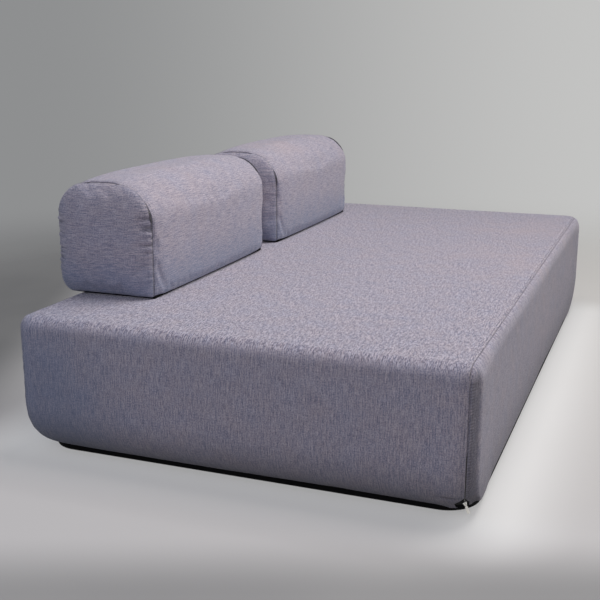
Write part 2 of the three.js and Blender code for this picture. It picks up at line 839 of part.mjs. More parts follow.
const divan = new THREE.Group();
divan.add(seat, bolster("left", -1), bolster("right", 1));
divan.position.set(0, -bolsterRearOverhang / 2, 0);

const whole = new THREE.Group();
whole.add(divan);

export default whole;
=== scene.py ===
"""Backless upholstered divan with two loose bolsters, dressed for rendering."""

import json
import logging
import math
from collections.abc import Callable, Iterable
from dataclasses import dataclass, field
from enum import Enum
from itertools import accumulate

import bmesh
import bpy
from mathutils import Matrix, Vector, noise
from mathutils.bvhtree import BVHTree

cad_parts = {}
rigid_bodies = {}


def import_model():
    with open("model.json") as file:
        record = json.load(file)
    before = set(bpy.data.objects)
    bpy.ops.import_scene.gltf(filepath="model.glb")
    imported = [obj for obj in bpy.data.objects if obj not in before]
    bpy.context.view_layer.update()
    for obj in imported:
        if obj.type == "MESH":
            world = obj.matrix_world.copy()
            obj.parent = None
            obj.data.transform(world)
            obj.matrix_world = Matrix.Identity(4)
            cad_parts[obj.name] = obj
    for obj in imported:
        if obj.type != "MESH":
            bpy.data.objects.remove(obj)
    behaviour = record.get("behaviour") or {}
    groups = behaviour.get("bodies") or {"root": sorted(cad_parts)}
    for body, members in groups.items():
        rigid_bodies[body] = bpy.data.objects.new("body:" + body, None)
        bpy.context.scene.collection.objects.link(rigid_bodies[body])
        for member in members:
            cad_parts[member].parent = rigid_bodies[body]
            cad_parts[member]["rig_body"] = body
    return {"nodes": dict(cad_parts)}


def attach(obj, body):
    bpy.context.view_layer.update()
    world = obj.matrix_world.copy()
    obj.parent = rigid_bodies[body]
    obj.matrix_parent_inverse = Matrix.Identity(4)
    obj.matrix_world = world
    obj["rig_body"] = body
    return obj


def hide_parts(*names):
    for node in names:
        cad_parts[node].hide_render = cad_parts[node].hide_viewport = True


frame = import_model()

LOG = logging.getLogger("divan")
CLOTH_MAP = "cloth"
# Darkness of the seams; the same mark also carries painted shade: the band beside the seat's corner
# seams, the flap's fold and the bolsters' pleat creases.
SEAM_AND_SHADE_MARK = "seam"
PUCKER_MARK = "pucker"
TICK_MARK = "tick"
GAP_MARK = "gap"
PART_MARK = "part"
MERGE_GAP = 1e-5
HALVINGS = 40
WARM_LIGHT = (1.0, 0.98, 0.955)
FILLED_CLOTH = {
    "quality": 6,
    "mass": 0.25,
    "tension_stiffness": 25.0,
    "compression_stiffness": 12.0,
    "shear_stiffness": 6.0,
    "bending_stiffness": 0.4,
    "use_pressure": True,
    "uniform_pressure_force": 4.0,
    "shrink_min": -0.035,
}
Colour = tuple[float, float, float, float]
Triple = tuple[float, float, float]
Span = tuple[float, float]
GridPoint = tuple[Vector, tuple[float, float], float]


def screen(red: float, green: float, blue: float) -> Colour:
    """Turn an 8-bit screen colour into a linear one.

    Args:
        red: Red from 0 to 255.
        green: Green from 0 to 255.
        blue: Blue from 0 to 255.

    Returns:
        The linear colour with an alpha of 1.
    """
    channels = [value / 255 for value in (red, green, blue)]
    linear = [c / 12.92 if c <= 0.04045 else ((c + 0.055) / 1.055) ** 2.4 for c in channels]
    return (*linear, 1.0)


def ease(value: float, low: float, high: float) -> float:
    """Rise smoothly from 0 at low to 1 at high."""
    share = min(max((value - low) / (high - low), 0.0), 1.0)
    return share * share * (3 - 2 * share)


def hump(value: float, rise: Span, fall: Span) -> float:
    """Rise smoothly from 0 to 1 over one span and fall back to 0 over another."""
    return ease(value, *rise) * (1 - ease(value, *fall))


def fade(distance: float, reach: float) -> float:
    """Fall off from 1 at a line to nearly 0 at twice the reach."""
    return math.exp(-((distance / reach) ** 2))


def wander(along: float, across: float, seed: float) -> float:
    """Smooth noise from about -1 to 1."""
    return noise.noise(Vector((along, across, seed)))


def spread(low: float, high: float, step: float) -> list[float]:
    """Even stations from low to high, both included, about a step apart."""
    count = max(1, round(abs(high - low) / step))
    return [low + (high - low) * index / count for index in range(count + 1)]


def path_lengths(path: list[Vector]) -> list[float]:
    """Distance along a path of each of its points."""
    steps = ((after - before).length for before, after in zip(path, path[1:]))
    return list(accumulate(steps, initial=0.0))


def even_points(path: list[Vector], cells: int) -> list[Vector]:
    """Place points evenly along a path.

    Args:
        path: The path's points.
        cells: The parts between the new points.

    Returns:
        The new points, with both ends.
    """
    lengths = path_lengths(path)
    found = []
    index = 0
    for cell in range(cells + 1):
        wanted = lengths[-1] * cell / cells
        while index < len(path) - 2 and lengths[index + 1] < wanted:
            index += 1
        span = lengths[index + 1] - lengths[index]
        share = (wanted - lengths[index]) / span if span > 0 else 0.0
        found.append(path[index].lerp(path[index + 1], min(max(share, 0.0), 1.0)))
    return found


class Finish(Enum):
    """The finishes of the divan, by the material slots of its record."""

    MELANGE_CLOTH = "melange_cloth"
    FOAM = "foam"
    WADDING = "wadding"
    TIMBER = "timber"
    WEBBING = "webbing"
    BLACK_CLOTH = "black_cloth"
    BLACK_PLASTIC = "black_plastic"
    SCREW_STEEL = "screw_steel"
    STEEL_PLATE = "steel_plate"
    ZIP_METAL = "zip_metal"


class Signal:
    """A number on a node's socket that takes part in Python arithmetic."""

    def __init__(self, recipe: "Recipe", socket: bpy.types.NodeSocket) -> None:
        """Keep the socket and the recipe that it belongs to."""
        self.recipe = recipe
        self.socket = socket

    def _math(self, operation: str, *values: "Signal | float") -> "Signal":
        """Add one Math node with its inputs in order."""
        settings = {"operation": operation}
        made = self.recipe.node("ShaderNodeMath", settings, dict(enumerate(values)))
        return Signal(self.recipe, made.outputs[0])

    def __add__(self, other: "Signal | float") -> "Signal":
        """Add."""
        return self._math("ADD", self, other)

    def __radd__(self, other: float) -> "Signal":
        """Add to a plain number."""
        return self._math("ADD", other, self)

    def __sub__(self, other: "Signal | float") -> "Signal":
        """Subtract."""
        return self._math("SUBTRACT", self, other)

    def __rsub__(self, other: float) -> "Signal":
        """Subtract from a plain number."""
        return self._math("SUBTRACT", other, self)

    def __mul__(self, other: "Signal | float") -> "Signal":
        """Multiply."""
        return self._math("MULTIPLY", self, other)

    def sine(self) -> "Signal":
        """Take the sine."""
        return self._math("SINE", self)

    def between(self, low: float, high: float) -> "Signal":
        """Rise smoothly from 0 at low to 1 at high."""
        made = self.recipe.node(
            "ShaderNodeMapRange",
            {"interpolation_type": "SMOOTHSTEP"},
            {"Value": self, "From Min": low, "From Max": high},
        )
        return Signal(self.recipe, made.outputs["Result"])

    def hump(self, rise: Span, fall: Span) -> "Signal":
        """Rise smoothly from 0 to 1 over one span and fall back to 0 over another."""
        return self.between(*rise) * (1 - self.between(*fall))


class Recipe:
    """The node tree of one finish, or of the studio's air."""

    def __init__(self, owner: bpy.types.Material | bpy.types.World) -> None:
        """Start an empty tree in its owner."""
        owner.use_nodes = True
        self.owner = owner
        self.tree = owner.node_tree
        self.tree.nodes.clear()

    @staticmethod
    def named(name: str) -> "Recipe":
        """Start the recipe of a new material."""
        return Recipe(bpy.data.materials.new(name))

    def node(
        self,
        kind: str,
        settings: dict[str, object] | None = None,
        sockets: dict[str | int, object] | None = None,
    ) -> bpy.types.Node:
        """Add a node.

        Args:
            kind: The node's type.
            settings: Its settings, which are set first.
            sockets: The values or links of its inputs, by name or number.

        Returns:
            The node.
        """
        made = self.tree.nodes.new(kind)
        for key, value in (settings or {}).items():
            setattr(made, key, value)
        for key, value in (sockets or {}).items():
            source = value.socket if isinstance(value, Signal) else value
            if isinstance(source, bpy.types.NodeSocket):
                self.tree.links.new(source, made.inputs[key])
            else:
                made.inputs[key].default_value = source
        return made

    def vector(self, operation: str, *values: object) -> bpy.types.Node:
        """Add a Vector Math node with its inputs in order."""
        settings = {"operation": operation}
        return self.node("ShaderNodeVectorMath", settings, dict(enumerate(values)))

    def blended(
        self, share: "Signal | float", first: bpy.types.Node, second: bpy.types.Node
    ) -> bpy.types.Node:
        """Blend two shaders, with a share of the second one."""
        sockets = {0: share, 1: first.outputs[0], 2: second.outputs[0]}
        return self.node("ShaderNodeMixShader", None, sockets)

    def cloth_place(self) -> bpy.types.NodeSocket:
        """Give the place on the flat cloth in metres, with U along its slubby threads."""
        return self.node("ShaderNodeUVMap", {"uv_map": CLOTH_MAP}).outputs["UV"]

    def object_place(self) -> bpy.types.NodeSocket:
        """Give the place on the object in metres."""
        return self.node("ShaderNodeTexCoord").outputs["Object"]

    def axis(self, place: bpy.types.NodeSocket, index: int) -> Signal:
        """Read one coordinate of a place."""
        return Signal(self, self.node("ShaderNodeSeparateXYZ", None, {0: place}).outputs[index])

    def towards(self, place: bpy.types.NodeSocket, way: Triple) -> Signal:
        """Measure how far a place lies in a direction."""
        return Signal(self, self.vector("DOT_PRODUCT", place, way).outputs["Value"])

    def stretched(self, place: bpy.types.NodeSocket, scale: Triple) -> bpy.types.NodeSocket:
        """Scale a place along its axes."""
        return self.node("ShaderNodeMapping", None, {"Vector": place, "Scale": scale}).outputs[0]

    def grain(
        self, place: bpy.types.NodeSocket, scale: float, detail: float, roughness: float = 0.5
    ) -> Signal:
        """Add smooth noise.

        Args:
            place: Where the noise is read.
            scale: Its features per metre.
            detail: How many finer layers it has.
            roughness: How strong the finer layers are.

        Returns:
            Noise from 0 to 1 around 0.5.
        """
        made = self.node(
            "ShaderNodeTexNoise",
            None,
            {"Vector": place, "Scale": scale, "Detail": detail, "Roughness": roughness},
        )
        return Signal(self, made.outputs["Fac"])

    def mix(self, share: Signal, first: object, second: object) -> bpy.types.NodeSocket:
        """Mix two colours or links to colours, with a share of the second one."""
        settings = {"data_type": "RGBA", "blend_type": "MIX", "clamp_factor": True}
        return self.node("ShaderNodeMix", settings, {0: share, 6: first, 7: second}).outputs[2]

    def mark(self, name: str) -> Signal:
        """Read a number that the mesh keeps at each point."""
        made = self.node("ShaderNodeAttribute", {"attribute_name": name})
        return Signal(self, made.outputs["Fac"])

    def nearness(self, place: bpy.types.NodeSocket, centre: Triple, reach: float) -> Signal:
        """Fall from 1 at a point on the object to 0 at a reach in metres."""
        apart = Signal(self, self.vector("DISTANCE", place, centre).outputs["Value"])
        return 1 - apart.between(0.0, reach)

    def bump(self, height: Signal, distance: float, strength: float) -> bpy.types.NodeSocket:
        """Turn a height into a normal, with the height of 1 in metres and a share that shows."""
        sockets = {"Height": height, "Distance": distance, "Strength": strength}
        return self.node("ShaderNodeBump", None, sockets).outputs["Normal"]

    def shade(self, **sockets: object) -> bpy.types.Material:
        """Close the tree with a Principled shader.

        Args:
            sockets: Its inputs, with an underscore for each space.

        Returns:
            The finished material.
        """
        named = {key.replace("_", " "): value for key, value in sockets.items()}
        shader = self.node("ShaderNodeBsdfPrincipled", None, named)
        self.node("ShaderNodeOutputMaterial", None, {"Surface": shader.outputs[0]})
        return self.owner


@dataclass(frozen=True)
class Patch:
    """A place on the object round which the cloth's colour turns to another."""

    centre: Triple
    reach: float


@dataclass(frozen=True)
class Threads:
    """Noise that is drawn out along the cloth's threads, in features per metre."""

    along: float
    across: float
    detail: float = 1.0
    roughness: float = 0.5

    def read(self, recipe: Recipe, place: bpy.types.NodeSocket) -> Signal:
        """Add the noise at a place on the flat cloth."""
        drawn_out = recipe.stretched(place, (self.along, self.across, 1))
        return recipe.grain(drawn_out, 1.0, self.detail, self.roughness)


@dataclass(frozen=True)
class MelangeCloth:
    """Changeant upholstery cloth of mauve and blue threads with fine slubs.

    The spans are heights on the object in metres: where the seat's flat top starts and ends, where
    the bolsters start, and where the painted shade of their foot and of the seat's foot ends.
    """

    mauve_dark: Colour = screen(122, 112, 126)
    mauve_light: Colour = screen(205, 194, 202)
    blue_dark: Colour = screen(108, 107, 128)
    blue_light: Colour = screen(194, 191, 209)
    warm: Colour = screen(192, 170, 168)
    seam_shade: Colour = screen(52, 50, 60)
    # Colours of painted shade: bluish at the near end's rear corner and at the bolsters' foot, grey
    # at the seat's foot.
    cool_shade: Colour = screen(80, 108, 142)
    foot_shade: Colour = screen(92, 92, 100)
    streaks: Threads = Threads(25, 330, roughness=0.6)
    slubs: Threads = Threads(66, 650)
    flecks: Threads = Threads(260, 300, 2.0, 0.6)
    wefts: Threads = Threads(420, 30)
    coarse: Threads = Threads(110, 330, roughness=0.7)
    broad: Threads = Threads(48, 130, roughness=0.7)
    drift_scale: float = 14.0
    lump_scale: float = 170.0
    thread_pitch: float = 0.0013
    tick_pitch: float = 0.0072
    patches: tuple[Patch, ...] = (
        Patch((0.05, -0.48, 0.40), 0.45),
        Patch((0.70, -0.46, 0.40), 0.35),
        Patch((-0.62, 0.36, 0.70), 0.24),
        Patch((0.30, 0.42, 0.71), 0.24),
    )
    # Painted shade: a blue cast round the rear corner of the seat's near end.
    cool: Patch = Patch((-1.11, 0.60, 0.12), 0.50)
    top_starts: Span = (0.372, 0.392)
    top_ends: Span = (0.404, 0.408)
    # Spans of painted shade: at the bolsters' foot and at the seat's foot.
    bolsters_start: Span = (0.401, 0.403)
    bolster_foot_ends: Span = (0.404, 0.570)
    foot_ends: Span = (0.02, 0.26)
    warm_share: float = 0.38
    cool_share: float = 0.40
    bolster_foot_share: float = 0.42
    foot_share: float = 0.34
    tick_share: float = 0.50
    top_gain: float = 1.15

    def make(self) -> bpy.types.Material:
        """Build the material."""
        recipe = Recipe.named("melange_cloth")
        place = recipe.cloth_place()
        slubs = self.slubs.read(recipe, place)
        flecks = self.flecks.read(recipe, place)
        colour = self._threads(recipe, place, slubs, flecks)
        colour = self._worn_and_painted_shade(recipe, colour)
        colour = self._sewn(recipe, place, colour)
        height = self._height(recipe, place, slubs, flecks)
        return recipe.shade(
            Base_Color=colour,
            Roughness=0.88 - slubs.between(0.5, 0.9) * 0.1,
            Normal=recipe.bump(height, 0.0010, 0.8),
            Specular_IOR_Level=0.2,
            Sheen_Weight=0.16,
            Sheen_Roughness=0.5,
        )

    def _threads(
        self, recipe: Recipe, place: bpy.types.NodeSocket, slubs: Signal, flecks: Signal
    ) -> bpy.types.NodeSocket:
        """Colour the threads, which stand out more on the seat's top.

        Args:
            recipe: The node tree.
            place: The place on the flat cloth.
            slubs: The slubs.
            flecks: The flecks.

        Returns:
            The colour.
        """
        streaks = self.streaks.read(recipe, place)
        wefts = self.wefts.read(recipe, place)
        drift = recipe.grain(place, self.drift_scale, 3.0)
        changeant = (streaks * 0.5 + drift * 0.35 + flecks * 0.5).between(0.48, 0.86)
        yarn = streaks * 0.36 + slubs * 0.34 + flecks * 0.55 + wefts * 0.15
        on_top = recipe.axis(recipe.object_place(), 2).hump(self.top_starts, self.top_ends)
        coarse = self.coarse.read(recipe, place) - 0.5
        broad = self.broad.read(recipe, place) - 0.5
        yarn = yarn + (coarse + broad * 0.45) * on_top * self.top_gain
        dark_threads = recipe.mix(changeant, self.blue_dark, self.mauve_dark)
        light_threads = recipe.mix(changeant, self.blue_light, self.mauve_light)
        return recipe.mix(yarn.between(0.43, 0.99), dark_threads, light_threads)

    def _worn_and_painted_shade(self, recipe: Recipe, colour: bpy.types.NodeSocket) -> bpy.types.NodeSocket:
        """Warm the colour where the cloth is worn, and paint shade: bluer and darker lower down.

        Args:
            recipe: The node tree.
            colour: The threads' colour.

        Returns:
            The colour.
        """
        whole = recipe.object_place()
        level = recipe.axis(whole, 2)
        worn = recipe.grain(whole, 6.0, 4.0, 0.6).between(0.30, 0.80)
        for patch in self.patches:
            near = recipe.nearness(whole, patch.centre, patch.reach)
            colour = recipe.mix(near * worn * self.warm_share, colour, self.warm)
        # Painted shade: the blue cast round the rear corner of the seat's near end.
        near = recipe.nearness(whole, self.cool.centre, self.cool.reach)
        colour = recipe.mix(near.between(0.0, 0.9) * self.cool_share, colour, self.cool_shade)
        # Painted shade: bluer and darker cloth at the bolsters' foot.
        low = level.hump(self.bolsters_start, self.bolster_foot_ends)
        colour = recipe.mix(low * self.bolster_foot_share, colour, self.cool_shade)
        # Painted shade: darker cloth towards the seat's foot.
        foot = 1 - level.between(*self.foot_ends)
        return recipe.mix(foot * foot * self.foot_share, colour, self.foot_shade)

    def _sewn(
        self, recipe: Recipe, place: bpy.types.NodeSocket, colour: bpy.types.NodeSocket
    ) -> bpy.types.NodeSocket:
        """Darken the colour at the seams and at the ticks of their allowance.

        Args:
            recipe: The node tree.
            place: The place on the flat cloth.
            colour: The cloth's colour.

        Returns:
            The colour.
        """
        colour = recipe.mix(recipe.mark(SEAM_AND_SHADE_MARK), colour, self.seam_shade)
        ticks = (recipe.axis(place, 0) * (math.tau / self.tick_pitch)).sine().between(0.35, 0.95)
        return recipe.mix(ticks * recipe.mark(TICK_MARK) * self.tick_share, colour, self.seam_shade)

    def _height(
        self, recipe: Recipe, place: bpy.types.NodeSocket, slubs: Signal, flecks: Signal
    ) -> Signal:
        """Raise the weave, its slubs and the puckers beside the seams.

        Args:
            recipe: The node tree.
            place: The place on the flat cloth.
            slubs: The slubs.
            flecks: The flecks.

        Returns:
            The height from about 0 to 1.
        """
        turns = math.tau / self.thread_pitch
        weave = (recipe.axis(place, 0) * turns).sine() * (recipe.axis(place, 1) * turns).sine()
        lumps = recipe.grain(place, self.lump_scale, 1.0) - 0.5
        height = 0.5 + weave * 0.14 + (slubs - 0.5) * 0.7 + (flecks - 0.5) * 0.9
        return height + lumps * recipe.mark(PUCKER_MARK) * 2.4


@dataclass(frozen=True)
class BlackCloth:
    """Black nonwoven dust cloth with a dimpled surface."""

    dark: Colour = screen(9, 9, 10)
    fluff: Colour = screen(24, 24, 26)
    fibre_scale: float = 420.0
    dimple_scale: float = 460.0

    def make(self) -> bpy.types.Material:
        """Build the material."""
        recipe = Recipe.named("black_cloth")
        place = recipe.object_place()
        fibres = recipe.grain(place, self.fibre_scale, 3.0, 0.7)
        sockets = {"Vector": place, "Scale": self.dimple_scale}
        dimples = recipe.node("ShaderNodeTexVoronoi", {"feature": "F1"}, sockets)
        pits = Signal(recipe, dimples.outputs["Distance"])
        return recipe.shade(
            Base_Color=recipe.mix(fibres.between(0.45, 0.8), self.dark, self.fluff),
            Roughness=0.9 - fibres * 0.1,
            Normal=recipe.bump(pits * 0.7 + fibres * 0.3, 0.0004, 0.6),
            Specular_IOR_Level=0.1,
        )


@dataclass(frozen=True)
class Cushioning:
    """Open foam or fluffy wadding."""

    name: str
    light: Colour
    shade: Colour
    cells: float
    depth: float

    def make(self) -> bpy.types.Material:
        """Build the material."""
        recipe = Recipe.named(self.name)
        place = recipe.object_place()
        cells = recipe.node("ShaderNodeTexVoronoi", None, {"Vector": place, "Scale": self.cells})
        pores = Signal(recipe, cells.outputs["Distance"])
        clumps = recipe.grain(place, self.cells / 12, 4.0, 0.6)
        return recipe.shade(
            Base_Color=recipe.mix(clumps * 0.6 + pores * 0.5, self.light, self.shade),
            Roughness=0.95 - pores * 0.1,
            Normal=recipe.bump(pores * 0.6 + clumps * 0.6, self.depth, 0.7),
            Specular_IOR_Level=0.15,
        )


@dataclass(frozen=True)
class Timber:
    """Sawn softwood with its grain along the rails."""

    early: Colour = screen(214, 180, 132)
    late: Colour = screen(168, 122, 76)
    knot: Colour = screen(110, 72, 42)
    bend_scale: Triple = (1.5, 1.5, 6)
    ring_scale: Triple = (3, 3, 95)
    saw_scale: Triple = (420, 420, 60)
    knot_scale: float = 5.0

    def make(self) -> bpy.types.Material:
        """Build the material."""
        recipe = Recipe.named("timber")
        place = recipe.object_place()
        bent = recipe.grain(recipe.stretched(place, self.bend_scale), 1.0, 2.0)
        rings = recipe.grain(recipe.stretched(place, self.ring_scale), 1.0, 4.0, 0.65)
        growth = ((rings * 3.0 + bent * 7.0) * math.tau).sine() * 0.5 + 0.5
        spots = recipe.grain(place, self.knot_scale, 1.0).between(0.70, 0.82)
        saw = recipe.grain(recipe.stretched(place, self.saw_scale), 1.0, 2.0)
        colour = recipe.mix(growth.between(0.25, 0.95), self.early, self.late)
        return recipe.shade(
            Base_Color=recipe.mix(spots, colour, self.knot),
            Roughness=0.62 + saw * 0.25,
            Normal=recipe.bump(growth * 0.3 + saw * 0.7, 0.0004, 0.6),
        )


@dataclass(frozen=True)
class Webbing:
    """Woven elastic webbing with ribs and a paler line."""

    dark: Colour = screen(62, 58, 56)
    light: Colour = screen(150, 140, 126)
    rib_turns: float = 1300.0
    wear_scale: float = 60.0

    def make(self) -> bpy.types.Material:
        """Build the material."""
        recipe = Recipe.named("webbing")
        place = recipe.object_place()
        along = (recipe.axis(place, 0) * self.rib_turns).sine()
        ribs = along * (recipe.axis(place, 1) * self.rib_turns).sine()
        worn = recipe.grain(place, self.wear_scale, 3.0)
        return recipe.shade(
            Base_Color=recipe.mix(ribs * 0.3 + worn * 0.6, self.dark, self.light),
            Roughness=0.78 + worn * 0.12,
            Normal=recipe.bump(ribs * 0.5 + 0.5, 0.0008, 0.8),
        )


@dataclass(frozen=True)
class BlackPlastic:
    """Moulded black polypropylene with a fine spark grain and scuffs."""

    fresh: Colour = screen(24, 24, 25)
    scuffed: Colour = screen(66, 65, 64)
    spark_scale: float = 1500.0
    scuff_scale: Triple = (40, 160, 40)

    def make(self) -> bpy.types.Material:
        """Build the material."""
        recipe = Recipe.named("black_plastic")
        place = recipe.object_place()
        spark = recipe.grain(place, self.spark_scale, 2.0)
        scuffs = recipe.grain(recipe.stretched(place, self.scuff_scale), 1.0, 5.0, 0.7)
        rubbed = scuffs.between(0.56, 0.74)
        return recipe.shade(
            Base_Color=recipe.mix(rubbed * 0.7, self.fresh, self.scuffed),
            Roughness=0.42 + rubbed * 0.3 + spark * 0.08,
            Normal=recipe.bump(spark, 0.0001, 0.5),
        )


@dataclass(frozen=True)
class Metal:
    """Bare or plated metal with a brushed or rolled surface."""

    name: str
    bright: Colour
    dull: Colour
    roughness: float
    brushing: Triple
    stain_scale: float = 45.0

    def make(self) -> bpy.types.Material:
        """Build the material."""
        recipe = Recipe.named(self.name)
        place = recipe.object_place()
        lines = recipe.grain(recipe.stretched(place, self.brushing), 1.0, 3.0, 0.6)
        stains = recipe.grain(place, self.stain_scale, 4.0, 0.6).between(0.45, 0.8)
        return recipe.shade(
            Base_Color=recipe.mix(stains, self.bright, self.dull),
            Metallic=1.0,
            Roughness=self.roughness + lines * 0.12 + stains * 0.15,
            Normal=recipe.bump(lines, 0.00006, 0.5),
        )


@dataclass(frozen=True)
class SewingThread:
    """Twisted polyester thread of the topstitching."""

    light: Colour = screen(92, 88, 102)
    shade: Colour = screen(46, 44, 54)
    twist_scale: float = 2600.0

    def make(self) -> bpy.types.Material:
        """Build the material."""
        recipe = Recipe.named("sewing_thread")
        twist = recipe.grain(recipe.object_place(), self.twist_scale, 1.0)
        return recipe.shade(
            Base_Color=recipe.mix(twist.between(0.35, 0.65), self.light, self.shade),
            Roughness=0.6 + twist * 0.2,
            Normal=recipe.bump(twist, 0.0001, 0.6),
        )


class Wardrobe:
    """Every finish of the divan, made once."""

    def __init__(self) -> None:
        """Build all the materials."""
        self.thread = SewingThread().make()
        self.by_slot = {
            Finish.MELANGE_CLOTH: MelangeCloth().make(),
            Finish.FOAM: Cushioning(
                "foam", screen(226, 218, 190), screen(196, 184, 148), 1400.0, 0.0006
            ).make(),
            Finish.WADDING: Cushioning(
                "wadding", screen(232, 231, 228), screen(206, 205, 203), 700.0, 0.0015
            ).make(),
            Finish.TIMBER: Timber().make(),
            Finish.WEBBING: Webbing().make(),
            Finish.BLACK_CLOTH: BlackCloth().make(),
            Finish.BLACK_PLASTIC: BlackPlastic().make(),
            Finish.SCREW_STEEL: Metal(
                "screw_steel", screen(196, 190, 172), screen(150, 142, 120), 0.3, (900, 900, 60)
            ).make(),
            Finish.STEEL_PLATE: Metal(
                "steel_plate", screen(126, 128, 132), screen(84, 84, 88), 0.42, (30, 500, 30)
            ).make(),
            Finish.ZIP_METAL: Metal(
                "zip_metal", screen(226, 224, 218), screen(176, 172, 162), 0.22, (900, 900, 120)
            ).make(),
        }

    def dress(self, piece: bpy.types.Object, finish: Finish) -> None:
        """Give a piece one finish."""
        piece.data.materials.clear()
        piece.data.materials.append(self.by_slot[finish])

    def dress_thread(self, piece: bpy.types.Object) -> None:
        """Give a piece of stitching its thread."""
        piece.data.materials.clear()
        piece.data.materials.append(self.thread)

    def dress_solids(self, nodes: dict[str, bpy.types.Object]) -> None:
        """Give each solid that stays the finish of its slot.

        Args:
            nodes: The solids by name.
        """
        for name, solid in nodes.items():
            finish = self.finish_of(name)
            for slot in solid.material_slots:
                slot.material = self.by_slot[finish]
            if not solid.material_slots:
                solid.data.materials.append(self.by_slot[finish])

    @staticmethod
    def finish_of(name: str) -> Finish:
        """Choose the finish of a solid by the words in its name.

        Args:
            name: The solid's name.

        Returns:
            Its finish.
        """
        choices = (
            ("zip_coil", Finish.BLACK_PLASTIC),
            ("zip_", Finish.ZIP_METAL),
            ("screw", Finish.SCREW_STEEL),
            ("glide", Finish.BLACK_PLASTIC),
            ("weight_plate", Finish.STEEL_PLATE),
            ("underside", Finish.BLACK_CLOTH),
            ("webbing", Finish.WEBBING),
            ("wadding", Finish.WADDING),
            ("foam", Finish.FOAM),
            ("rail", Finish.TIMBER),
            ("block", Finish.TIMBER),
            ("board", Finish.TIMBER),
        )
        return next((finish for word, finish in choices if word in name), Finish.MELANGE_CLOTH)


@dataclass
class ClothPoint:
    """One point of a cloth panel before its folds are added."""

    place: Vector
    flat: tuple[float, float]
    proud: float = 0.0
    seam: float = 0.0
    pucker: float = 0.0
    tick: float = 0.0


def grid_cell(vertex: bmesh.types.BMVert, columns: int, rows: int) -> tuple[int, int]:
    """Find the column and row of a point of a fresh grid."""
    column = round((vertex.co.x + 1) / 2 * (columns - 1))
    row = round((vertex.co.y + 1) / 2 * (rows - 1))
    return column, row


def as_piece(mesh: bmesh.types.BMesh, name: str) -> bpy.types.Object:
    """Make a smoothly shaded object at the origin out of a mesh.

    Args:
        mesh: The mesh, which is freed.
        name: The object's name.

    Returns:
        The object, linked to the scene.
    """
    data = bpy.data.meshes.new(name)
    for face in mesh.faces:
        face.smooth = True
    mesh.to_mesh(data)
    mesh.free()
    piece = bpy.data.objects.new(name, data)
    bpy.context.scene.collection.objects.link(piece)
    return piece


def thicken(piece: bpy.types.Object, thickness: float) -> None:
    """Give a cloth its thickness, inwards from its surface."""
    wall = piece.modifiers.new("thickness", "SOLIDIFY")
    wall.thickness = thickness
    wall.offset = -1.0


class Panel:
    """A cloth panel that starts as a flat grid and is laid over a form."""

    def __init__(self, name: str, columns: int, rows: int) -> None:
        """Start from a flat grid.

        Args:
            name: The name of the piece.
            columns: Points across the grid.
            rows: Points along the grid.
        """
        self.name = name
        self.surface: BVHTree | None = None
        self.columns = columns
        self.rows = rows
        self.mesh = bmesh.new()
        bmesh.ops.create_grid(self.mesh, x_segments=columns - 1, y_segments=rows - 1, size=1.0)

    def lay(self, at: Callable[[int, int], ClothPoint], outwards: bool) -> None:
        """Move every grid point onto the form, then add the folds along the normals.

        Args:
            at: Gives the point of a column and row.
            outwards: Whether the grid's faces already point out of the form.
        """
        flat_map = self.mesh.loops.layers.uv.new(CLOTH_MAP)
        seams = self.mesh.verts.layers.float.new(SEAM_AND_SHADE_MARK)
        puckers = self.mesh.verts.layers.float.new(PUCKER_MARK)
        ticks = self.mesh.verts.layers.float.new(TICK_MARK)
        points = {
            vertex: at(*grid_cell(vertex, self.columns, self.rows)) for vertex in self.mesh.verts
        }
        for vertex, point in points.items():
            vertex.co = point.place
            vertex[seams] = point.seam
            vertex[puckers] = point.pucker
            vertex[ticks] = point.tick
            for loop in vertex.link_loops:
                loop[flat_map].uv = point.flat
        if not outwards:
            bmesh.ops.reverse_faces(self.mesh, faces=self.mesh.faces)
        self.mesh.normal_update()
        normals = {vertex: vertex.normal.copy() for vertex in points}
        for vertex, point in points.items():
            vertex.co += normals[vertex] * point.proud

    def sew(self, thickness: float, gap: float = MERGE_GAP) -> bpy.types.Object:
        """Close the panel into an object with the thickness of its cloth.

        Args:
            thickness: The cloth's thickness.
            gap: Points closer than this become one.

        Returns:
            The piece.
        """
        bmesh.ops.remove_doubles(self.mesh, verts=self.mesh.verts, dist=gap)
        self.surface = BVHTree.FromBMesh(self.mesh)
        piece = as_piece(self.mesh, self.name)
        thicken(piece, thickness)
        return piece


